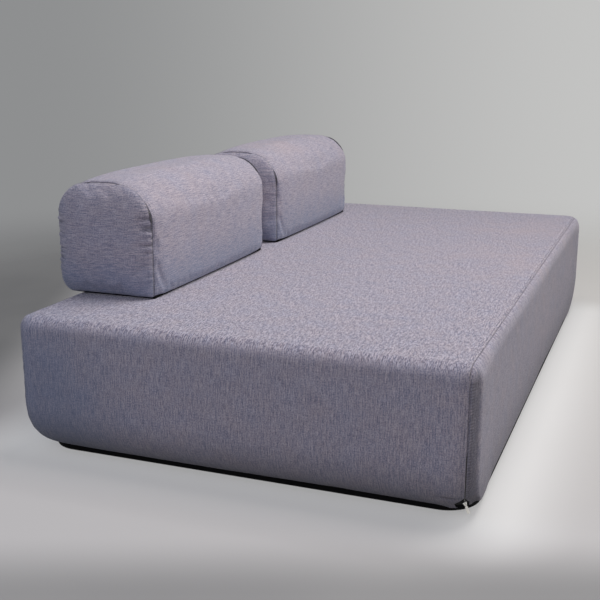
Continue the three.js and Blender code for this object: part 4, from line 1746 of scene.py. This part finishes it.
@dataclass
class Bolster:
    """One loose bolster: a cloth round its length and two puffed end panels."""

    side: str
    outer: int
    seed: float
    form: BolsterForm = field(default_factory=BolsterForm)
    pleats: Pleats = field(default_factory=Pleats)
    middle: float = 0.448
    cells: int = 36
    step: float = 0.008
    inset: float = 0.0003
    inset_reach: float = 0.02
    base_run: float = 2.0
    moments: int = 20
    cap: float = 0.006
    least_rise: float = -0.0002
    thickness: float = 0.0014
    stitch_offset: float = 0.0065
    inner_pleats: float = 0.3
    halfway: float = 0.15
    groove: Ridge = Ridge(-0.0010, 0.0, 0.003)
    ripples: Ridge = Ridge(0.0009, 0.0, 0.022)
    ripple_rate: float = 50.0
    swell: float = 0.0014
    swell_rate: float = 6.0
    swell_starts: Span = (0.0, 0.05)
    seam: Ridge = Ridge(0.6, 0.0, 0.0009)
    puckers: Ridge = Ridge(0.8, 0.006, 0.012)
    rim_drop: float = 0.0040
    rim_height: float = 0.014
    rim_depth: float = 0.005
    rim_edge: float = 0.001

    def _add_cloth(
        self,
        mesh: bmesh.types.BMesh,
        part: Part,
        columns: int,
        rows: int,
        at: Callable[[int, int], GridPoint],
    ) -> None:
        """Add one cloth of the bag as a grid laid over the form.

        Args:
            mesh: The bag.
            part: Which cloth it is.
            columns: Points across the grid.
            rows: Points along the grid.
            at: Gives a point's place, its place on the flat cloth and its gap from the seam.
        """
        made = bmesh.ops.create_grid(mesh, x_segments=columns - 1, y_segments=rows - 1, size=1.0)
        flat_map = mesh.loops.layers.uv[CLOTH_MAP]
        gap_mark = mesh.verts.layers.float[GAP_MARK]
        part_mark = mesh.faces.layers.int[PART_MARK]
        for vertex in made["verts"]:
            vertex.co, flat, vertex[gap_mark] = at(*grid_cell(vertex, columns, rows))
            for loop in vertex.link_loops:
                loop[flat_map].uv = flat
                loop.face[part_mark] = part.value

    def bag(self) -> bmesh.types.BMesh:
        """Sew the closed bag before it is filled."""
        form = self.form
        mesh = bmesh.new()
        mesh.loops.layers.uv.new(CLOTH_MAP)
        mesh.verts.layers.float.new(GAP_MARK)
        mesh.faces.layers.int.new(PART_MARK)
        sides = form.section(self.cells)
        front, top, rear, base = sides
        around = front + top[1:] + rear[1:]
        stations = spread(-form.half_length, form.half_length, self.step)
        girth = path_lengths(around)

        def on_tube(outline: list[Vector], column: int, row: int) -> GridPoint:
            """Place one point round the bolster's length."""
            along = stations[row]
            y, z = form.drawn(along, *outline[column], self.inset)
            gap = form.half_length - abs(along)
            run = girth[column] if outline is around else self.base_run + column * self.step
            return Vector((along, y, z)), (along + self.seed, run), gap

        def on_end(sign: int, column: int, row: int) -> GridPoint:
            """Place one point of an end panel, -1 at the left."""
            y, z = self._across_end(sides, column, row)
            inside = form.inside(y, z)
            drawn = form.drawn(form.half_length, y, z, self.inset)
            sunk = self.inset * ease(inside, 0.0, self.inset_reach)
            along = sign * (form.half_length + form.dome(inside) - sunk)
            return Vector((along, *drawn)), (y + self.seed + sign, z), max(inside, 0.0)

        rows = len(stations)
        self._add_cloth(mesh, Part.WRAP, len(around), rows, lambda c, r: on_tube(around, c, r))
        self._add_cloth(mesh, Part.BASE, len(base), rows, lambda c, r: on_tube(base, c, r))
        points = self.cells + 1
        self._add_cloth(mesh, Part.LEFT_END, points, points, lambda c, r: on_end(-1, c, r))
        self._add_cloth(mesh, Part.RIGHT_END, points, points, lambda c, r: on_end(1, c, r))
        bmesh.ops.remove_doubles(mesh, verts=mesh.verts, dist=MERGE_GAP)
        bmesh.ops.recalc_face_normals(mesh, faces=mesh.faces)
        return mesh

    def _across_end(self, sides: list[list[Vector]], column: int, row: int) -> tuple[float, float]:
        """Blend the four sides of the section into one place inside it.

        Args:
            sides: The front upwards, the top backwards, the rear downwards and the base forwards.
            column: The column of an end panel's grid, from the front.
            row: The row of the grid, from the bottom.

        Returns:
            The place across and the height.
        """
        front, top, rear, base = sides
        last = self.cells
        p, q = column / last, row / last
        between = front[row] * (1 - p) + rear[last - row] * p
        levels = base[last - column] * (1 - q) + top[column] * q
        low = front[0] * (1 - p) + base[0] * p
        high = top[0] * (1 - p) + top[last] * p
        place = between + levels - (low * (1 - q) + high * q)
        return place.x, place.y

    def _sewn(self, mesh: bmesh.types.BMesh) -> list[int]:
        """Find the points that stay put: on the seams and on the base."""
        part_mark = mesh.faces.layers.int[PART_MARK]
        mesh.verts.index_update()
        kept = []
        for vertex in mesh.verts:
            parts = {face[part_mark] for face in vertex.link_faces}
            if len(parts) > 1 or Part.BASE.value in parts:
                kept.append(vertex.index)
        return kept

    def fill(self, mesh: bmesh.types.BMesh) -> None:
        """Blow the bag up as cloth between its seams, and keep it near its form.

        Args:
            mesh: The bag, whose points are moved.
        """
        scene = bpy.context.scene
        data = bpy.data.meshes.new("bag")
        mesh.to_mesh(data)
        bag = bpy.data.objects.new("bag", data)
        scene.collection.objects.link(bag)
        pins = bag.vertex_groups.new(name="sewn")
        pins.add(self._sewn(mesh), 1.0, "REPLACE")
        cloth = bag.modifiers.new("filling", "CLOTH")
        cloth.settings.vertex_group_mass = "sewn"
        for key, value in FILLED_CLOTH.items():
            setattr(cloth.settings, key, value)
        cloth.settings.effector_weights.gravity = 0.0
        cloth.collision_settings.use_collision = False
        cloth.point_cache.frame_start = 1
        cloth.point_cache.frame_end = self.moments
        for moment in range(1, self.moments + 1):
            scene.frame_set(moment)
        evaluated = bag.evaluated_get(bpy.context.evaluated_depsgraph_get())
        places = [vertex.co.copy() for vertex in evaluated.data.vertices]
        mesh.verts.ensure_lookup_table()
        mesh.normal_update()
        normals = [vertex.normal.copy() for vertex in mesh.verts]
        for vertex, place, normal in zip(mesh.verts, places, normals, strict=True):
            shift = place - vertex.co
            shift -= normal * min(0.0, shift.dot(normal) - self.least_rise)
            vertex.co += shift * min(1.0, self.cap / max(shift.length, 1e-9))
        scene.frame_set(1)
        bpy.data.objects.remove(bag)
        bpy.data.meshes.remove(data)

    @staticmethod
    def refined(mesh: bmesh.types.BMesh) -> bmesh.types.BMesh:
        """Subdivide a closed mesh once and smooth it.

        Args:
            mesh: The mesh, which is freed.

        Returns:
            The finer mesh.
        """
        rough = as_piece(mesh, "rough")
        rough.modifiers.new("finer", "SUBSURF").levels = 1
        evaluated = rough.evaluated_get(bpy.context.evaluated_depsgraph_get())
        fine = bmesh.new()
        fine.from_mesh(evaluated.data)
        data = rough.data
        bpy.data.objects.remove(rough)
        bpy.data.meshes.remove(data)
        return fine

    def relieve(self, mesh: bmesh.types.BMesh) -> None:
        """Add the pleats and the seams that the cloth is too coarse for.

        Args:
            mesh: The filled bag.
        """
        gap_mark = mesh.verts.layers.float[GAP_MARK]
        part_mark = mesh.faces.layers.int[PART_MARK]
        seam_mark = mesh.verts.layers.float.new(SEAM_AND_SHADE_MARK)
        pucker_mark = mesh.verts.layers.float.new(PUCKER_MARK)
        mesh.normal_update()
        ends = {Part.LEFT_END.value, Part.RIGHT_END.value}
        shifts = {}
        for vertex in mesh.verts:
            gap = vertex[gap_mark]
            parts = {face[part_mark] for face in vertex.link_faces}
            proud = self.groove.at(gap)
            crease = 0.0
            if parts & ends:
                lift, crease = self._end_relief(vertex.co, gap)
                proud += lift
            elif Part.BASE.value not in parts:
                proud += self._wrap_relief(vertex.co, gap)
            shifts[vertex] = vertex.normal * proud - Vector((0.0, 0.0, self._rim(vertex.co)))
            sewn = 0.0 if parts == {Part.BASE.value} else self.seam.at(gap)
            # The seam mark holds the dark seam and the painted shade of the pleats' creases.
            vertex[seam_mark] = max(sewn, crease)
            vertex[pucker_mark] = self.puckers.at(gap)
        for vertex, shift in shifts.items():
            vertex.co += shift

    def _end_relief(self, place: Vector, gap: float) -> tuple[float, float]:
        """Pleats and swells of an end panel.

        Args:
            place: A point of the panel.
            gap: Its distance from the seam.

        Returns:
            How proud the panel stands there and the painted shade in its crease.
        """
        seed = self.seed + (5.0 if place.x > 0 else 0.0)
        seed += 2.0 if place.y > self.halfway else 0.0
        pleat, crease, swell = self.pleats.at(place, self.form.depth, gap, seed)
        share = self.inner_pleats if place.x * self.outer < 0 else 1.0
        return pleat * share + swell, crease * share

    def _wrap_relief(self, place: Vector, gap: float) -> float:
        """How proud the cloth round the bolster's length stands at a point."""
        ripple = wander((place.y + place.z) * self.ripple_rate, self.seed, 4.0)
        swell = wander(place.x * self.swell_rate, place.z * self.swell_rate, self.seed)
        return ripple * self.ripples.at(gap) + self.swell * swell * ease(gap, *self.swell_starts)

    def _rim(self, place: Vector) -> float:
        """How far the foot hangs down in front of the black base and beside it."""
        length = self.form.half_length
        front = 1 - ease(place.y, 0.0, self.rim_depth)
        end = ease(abs(place.x), length - self.rim_depth, length - self.rim_edge)
        return self.rim_drop * (1 - ease(place.z, 0.0, self.rim_height)) * max(front, end)

    def _cut_out(self, mesh: bmesh.types.BMesh, parts: set[Part], name: str) -> bpy.types.Object:
        """Make a piece of the cloths named, with their thickness.

        Args:
            mesh: The whole bag.
            parts: The cloths that the piece keeps.
            name: The piece's name.

        Returns:
            The piece.
        """
        kept = {part.value for part in parts}
        cut = mesh.copy()
        part_mark = cut.faces.layers.int[PART_MARK]
        others = [face for face in cut.faces if face[part_mark] not in kept]
        bmesh.ops.delete(cut, geom=others, context="FACES")
        bmesh.ops.translate(cut, verts=cut.verts, vec=self.place)
        piece = as_piece(cut, name)
        thicken(piece, self.thickness)
        return piece

    def build(self, wardrobe: Wardrobe) -> list[bpy.types.Object]:
        """Make, dress and place the bolster's cover.

        Args:
            wardrobe: The finishes.

        Returns:
            The pieces.
        """
        mesh = self.bag()
        self.fill(mesh)
        mesh = self.refined(mesh)
        self.relieve(mesh)
        name = f"bolster_{self.side}"
        ends = {Part.LEFT_END: "outer", Part.RIGHT_END: "inner"}
        if self.outer > 0:
            ends = {Part.LEFT_END: "inner", Part.RIGHT_END: "outer"}
        pieces = {
            f"{name}_cover_wrap": self._cut_out(mesh, {Part.WRAP, Part.BASE}, f"{name}_wrap_cloth")
        }
        for part, place in ends.items():
            piece = self._cut_out(mesh, {part}, f"{name}_{place}_end_cloth")
            pieces[f"{name}_{place}_end_panel"] = piece
        for node, piece in pieces.items():
            wardrobe.dress(piece, Finish.MELANGE_CLOTH)
            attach(piece, name)
            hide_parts(node)
        stitches = Stitching(BVHTree.FromBMesh(mesh)).sew(self.seam_paths(), f"{name}_topstitching")
        stitches.data.transform(Matrix.Translation(self.place))
        wardrobe.dress_thread(stitches)
        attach(stitches, name)
        mesh.free()
        return [*pieces.values(), stitches]

    @property
    def place(self) -> Vector:
        """Where the bolster's own middle, front and foot stand on the divan."""
        return Vector((self.outer * self.middle, self.form.front_y, self.form.foot_z))

    def seam_paths(self) -> list[list[Vector]]:
        """Lines of the topstitching round the wrap, beside its two end seams."""
        front, top, rear, _ = self.form.section(self.cells)
        around = front + top[1:] + rear[1:]
        along = self.form.half_length - self.stitch_offset
        drawn = [self.form.drawn(along, *point, self.inset) for point in around]
        return [[Vector((sign * along, *point)) for point in drawn] for sign in (-1, 1)]


@dataclass
class Fillings:
    """The foam and wadding inside the covers."""

    words: tuple[str, ...] = ("foam", "wadding")
    soft_turn: float = 0.6
    merge_gap: float = 1e-6

    def build(self, wardrobe: Wardrobe) -> list[bpy.types.Object]:
        """Make a soft piece in the place of each foam and wadding solid.

        Args:
            wardrobe: The finishes.

        Returns:
            The pieces.
        """
        return [
            self._filling(name, solid, wardrobe)
            for name, solid in sorted(frame["nodes"].items())
            if any(word in name for word in self.words)
        ]

    def _filling(self, name: str, solid: bpy.types.Object, wardrobe: Wardrobe) -> bpy.types.Object:
        """Make one filling of the form of its solid.

        Args:
            name: The solid's name.
            solid: The solid.
            wardrobe: The finishes.

        Returns:
            The piece.
        """
        mesh = bmesh.new()
        mesh.from_mesh(solid.data)
        bmesh.ops.remove_doubles(mesh, verts=mesh.verts, dist=self.merge_gap)
        for edge in mesh.edges:
            edge.smooth = edge.calc_face_angle(math.pi) < self.soft_turn
        piece = as_piece(mesh, f"{name}_filling")
        wardrobe.dress(piece, Wardrobe.finish_of(name))
        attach(piece, solid["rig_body"])
        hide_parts(name)
        return piece


@dataclass(frozen=True)
class SoftBox:
    """A square lamp that hangs near the divan; its power is in watts."""

    name: str
    place: Triple
    aim: Triple
    size: float
    power: float
    colour: Triple

    def hang(self) -> None:
        """Add the lamp to the scene."""
        data = bpy.data.lights.new(self.name, "AREA")
        data.energy = self.power
        data.size = self.size
        data.color = self.colour
        lamp = bpy.data.objects.new(self.name, data)
        lamp.location = self.place
        backwards = Vector(self.place) - Vector(self.aim)
        lamp.rotation_euler = backwards.to_track_quat("Z", "Y").to_euler()
        bpy.context.scene.collection.objects.link(lamp)


@dataclass(frozen=True)
class FarLamp:
    """A lamp far away in one direction; its softness is its apparent size in degrees."""

    name: str
    towards: Triple
    strength: float
    softness: float
    colour: Triple

    def hang(self) -> None:
        """Add the lamp to the scene."""
        data = bpy.data.lights.new(self.name, "SUN")
        data.energy = self.strength
        data.angle = math.radians(self.softness)
        data.color = self.colour
        lamp = bpy.data.objects.new(self.name, data)
        lamp.rotation_euler = Vector(self.towards).to_track_quat("Z", "Y").to_euler()
        bpy.context.scene.collection.objects.link(lamp)


@dataclass(frozen=True)
class Studio:
    """Pale floor, soft light and the camera at the photograph's place.

    The floor's colour holds painted light and shade in two spans across the view and two ahead of
    the camera, dim and bright, and painted light makes it palest beside the divan's foot.
    """

    camera_place: Triple = (-3.159, -0.9985, 1.070)
    camera_yaw: float = 0.367
    camera_pitch: float = 0.248
    lens: float = 59.04
    sensor_width: float = 36.0
    clip_end: float = 200.0
    floor_radius: float = 14.0
    floor_corners: int = 96
    floor_fade: float = 4.8
    fade_starts: Span = (0.25, 1.0)
    # Painted light and shade on the floor: a dim shade at the left and a pool of light at the right.
    dim_grey: Colour = screen(123, 123, 124)
    pool_grey: Colour = screen(209, 206, 206)
    pale_grey: Colour = screen(222, 219, 215)
    painted_foot_light: Colour = screen(247, 246, 245)
    bounce_grey: Colour = screen(120, 119, 118)
    pool_across: Span = (-1.35, -0.95)
    pool_ahead: Span = (-1.52, -1.26)
    pool_least: float = 0.35
    bright_across: Span = (0.2, 1.6)
    bright_ahead: Span = (-1.5, -0.9)
    foot_corner: Triple = (1.0, 0.6, 0.0)
    foot_reach: Span = (0.02, 0.30)
    grain_scale: float = 1.3
    grain_share: float = 0.06
    # The floor glows for the camera, though it is no lamp, which lifts the shade on it.
    glow: float = 0.4
    glow_strength: float = 0.75
    # Painted light on the backdrop: dim at the left, bright at the right.
    backdrop_dim: Colour = screen(142, 143, 144)
    backdrop_bright: Colour = screen(196, 196, 195)
    backdrop_across: Span = (-0.28, 0.34)
    air: Colour = (0.84, 0.90, 1.0, 1.0)
    air_strength: float = 0.16
    lamps: tuple[SoftBox | FarLamp, ...] = (
        SoftBox("overhead_box", (-0.10, -0.75, 3.8), (0.0, -0.3, 0.4), 1.8, 93.0, WARM_LIGHT),
        SoftBox("left_box", (-2.6, 2.2, 1.7), (-0.8, 0.3, 0.3), 1.6, 12.0, (0.62, 0.74, 1.0)),
        SoftBox("camera_box", (-4.5, -1.3, 1.9), (-1.0, -0.2, 0.3), 2.2, 43.0, (0.96, 0.95, 1.0)),
        FarLamp("right_lamp", (0.75, -0.60, 0.28), 1.36, 34.0, WARM_LIGHT),
    )

    def build(self) -> None:
        """Set up the whole studio."""
        self._camera()
        self._floor()
        self._world()
        for lamp in self.lamps:
            lamp.hang()
        bpy.context.scene.view_settings.view_transform = "Standard"

    def _camera(self) -> None:
        """Place the camera."""
        data = bpy.data.cameras.new("camera")
        data.lens = self.lens
        data.sensor_width = self.sensor_width
        data.clip_end = self.clip_end
        camera = bpy.data.objects.new("camera", data)
        camera.location = self.camera_place
        right_angle = math.pi / 2
        camera.rotation_euler = (right_angle - self.camera_pitch, 0.0, self.camera_yaw - right_angle)
        bpy.context.scene.collection.objects.link(camera)
        bpy.context.scene.camera = camera

    def _slope(self, recipe: Recipe, place: bpy.types.NodeSocket, span: Span) -> Signal:
        """Rise from 0 at the studio's dim left to 1 at its bright right, over a span."""
        right = (math.sin(self.camera_yaw), -math.cos(self.camera_yaw), 0.0)
        return recipe.towards(place, right).between(*span)

    def _ahead(self, recipe: Recipe, place: bpy.types.NodeSocket, span: Span) -> Signal:
        """Rise from 0 near the camera to 1 further away from it, over a span."""
        ahead = (math.cos(self.camera_yaw), math.sin(self.camera_yaw), 0.0)
        return recipe.towards(place, ahead).between(*span)

    def _around(self, recipe: Recipe, place: bpy.types.NodeSocket) -> Signal:
        """Measure the distance on the floor from the divan's foot, which is 0 below the divan."""
        flat = recipe.vector("ABSOLUTE", place)
        past = recipe.vector("SUBTRACT", flat.outputs[0], self.foot_corner)
        outside = recipe.vector("MAXIMUM", past.outputs[0], (0.0, 0.0, 0.0))
        return Signal(recipe, recipe.vector("LENGTH", outside.outputs[0]).outputs["Value"])

    @staticmethod
    def _seen(recipe: Recipe) -> Signal:
        """Give 1 to what the camera sees, straight or in gloss and glass, and 0 to other light."""
        rays = recipe.node("ShaderNodeLightPath").outputs
        camera = Signal(recipe, rays["Is Camera Ray"])
        glossy = Signal(recipe, rays["Is Glossy Ray"])
        return camera + glossy + Signal(recipe, rays["Is Transmission Ray"])

    def _floor_colour(self, recipe: Recipe, place: bpy.types.NodeSocket) -> bpy.types.NodeSocket:
        """Paint light and shade on the floor: dim left, pale right and white beside the divan's
        foot.

        Args:
            recipe: The node tree.
            place: The place on the floor.

        Returns:
            The colour.
        """
        grain = recipe.grain(place, self.grain_scale, 3.0)
        nearer = self._ahead(recipe, place, self.pool_ahead) * (1 - self.pool_least)
        lit = self._slope(recipe, place, self.pool_across) * (self.pool_least + nearer)
        colour = recipe.mix(lit, self.dim_grey, self.pool_grey)
        bright = self._slope(recipe, place, self.bright_across)
        bright = bright * self._ahead(recipe, place, self.bright_ahead)
        colour = recipe.mix(bright, colour, self.pale_grey)
        beside = self._around(recipe, place).between(*self.foot_reach)
        # Painted light round the divan's foot, where its shade falls.
        colour = recipe.mix(1 - beside, colour, self.painted_foot_light)
        return recipe.mix(grain.between(0.3, 0.7) * self.grain_share, colour, self.pale_grey)

    def _floor(self) -> None:
        """Lay the floor, which glows for the camera and fades into the background far from the
        divan.
        """
        mesh = bmesh.new()
        bmesh.ops.create_circle(
            mesh, cap_ends=True, segments=self.floor_corners, radius=self.floor_radius
        )
        floor = as_piece(mesh, "floor")
        recipe = Recipe.named("floor_paper")
        place = recipe.object_place()
        colour = self._floor_colour(recipe, place)
        plain = {"Base Color": colour, "Roughness": 0.9, "Specular IOR Level": 0.1}
        paper = recipe.node("ShaderNodeBsdfPrincipled", None, plain)
        # Painted light: a glow that only the camera sees.
        lit = {"Color": colour, "Strength": self.glow_strength}
        shine = recipe.node("ShaderNodeEmission", None, lit)
        dull = recipe.node("ShaderNodeBsdfDiffuse", None, {"Color": self.bounce_grey})
        clear = recipe.node("ShaderNodeBsdfTransparent")
        shown = recipe.blended(self.glow, paper, shine)
        ground = recipe.blended(self._seen(recipe), dull, shown)
        far = 1 - recipe.nearness(place, (0.0, 0.0, 0.0), self.floor_fade)
        mixed = recipe.blended(far.between(*self.fade_starts), ground, clear)
        recipe.node("ShaderNodeOutputMaterial", None, {"Surface": mixed.outputs[0]})
        floor.data.materials.append(recipe.owner)

    def _world(self) -> None:
        """Give the world its soft light and the background that the camera sees."""
        world = bpy.data.worlds.new("studio")
        bpy.context.scene.world = world
        recipe = Recipe(world)
        ways = recipe.node("ShaderNodeTexCoord").outputs["Generated"]
        # Painted light: the backdrop runs from dim at the left to bright at the right.
        across = self._slope(recipe, ways, self.backdrop_across)
        backdrop = recipe.mix(across, self.backdrop_dim, self.backdrop_bright)
        shown = recipe.node("ShaderNodeBackground", None, {"Color": backdrop, "Strength": 1.0})
        soft = {"Color": self.air, "Strength": self.air_strength}
        light = recipe.node("ShaderNodeBackground", None, soft)
        mixed = recipe.blended(self._seen(recipe), light, shown)
        recipe.node("ShaderNodeOutputWorld", None, {"Surface": mixed.outputs[0]})


def main() -> None:
    """Dress the divan and light it."""
    logging.basicConfig(level=logging.INFO, format="%(name)s: %(message)s")
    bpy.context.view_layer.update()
    wardrobe = Wardrobe()
    wardrobe.dress_solids(frame["nodes"])
    Studio().build()
    made: list[bpy.types.Object] = []
    made += SeatCover().build(wardrobe)
    made += Bolster("left", -1, 1.7).build(wardrobe)
    made += Bolster("right", 1, 4.3).build(wardrobe)
    made += Fillings().build(wardrobe)
    for piece in made:
        LOG.info("%s: %d faces", piece.name, len(piece.data.polygons))


if __name__ == "__main__":
    main()
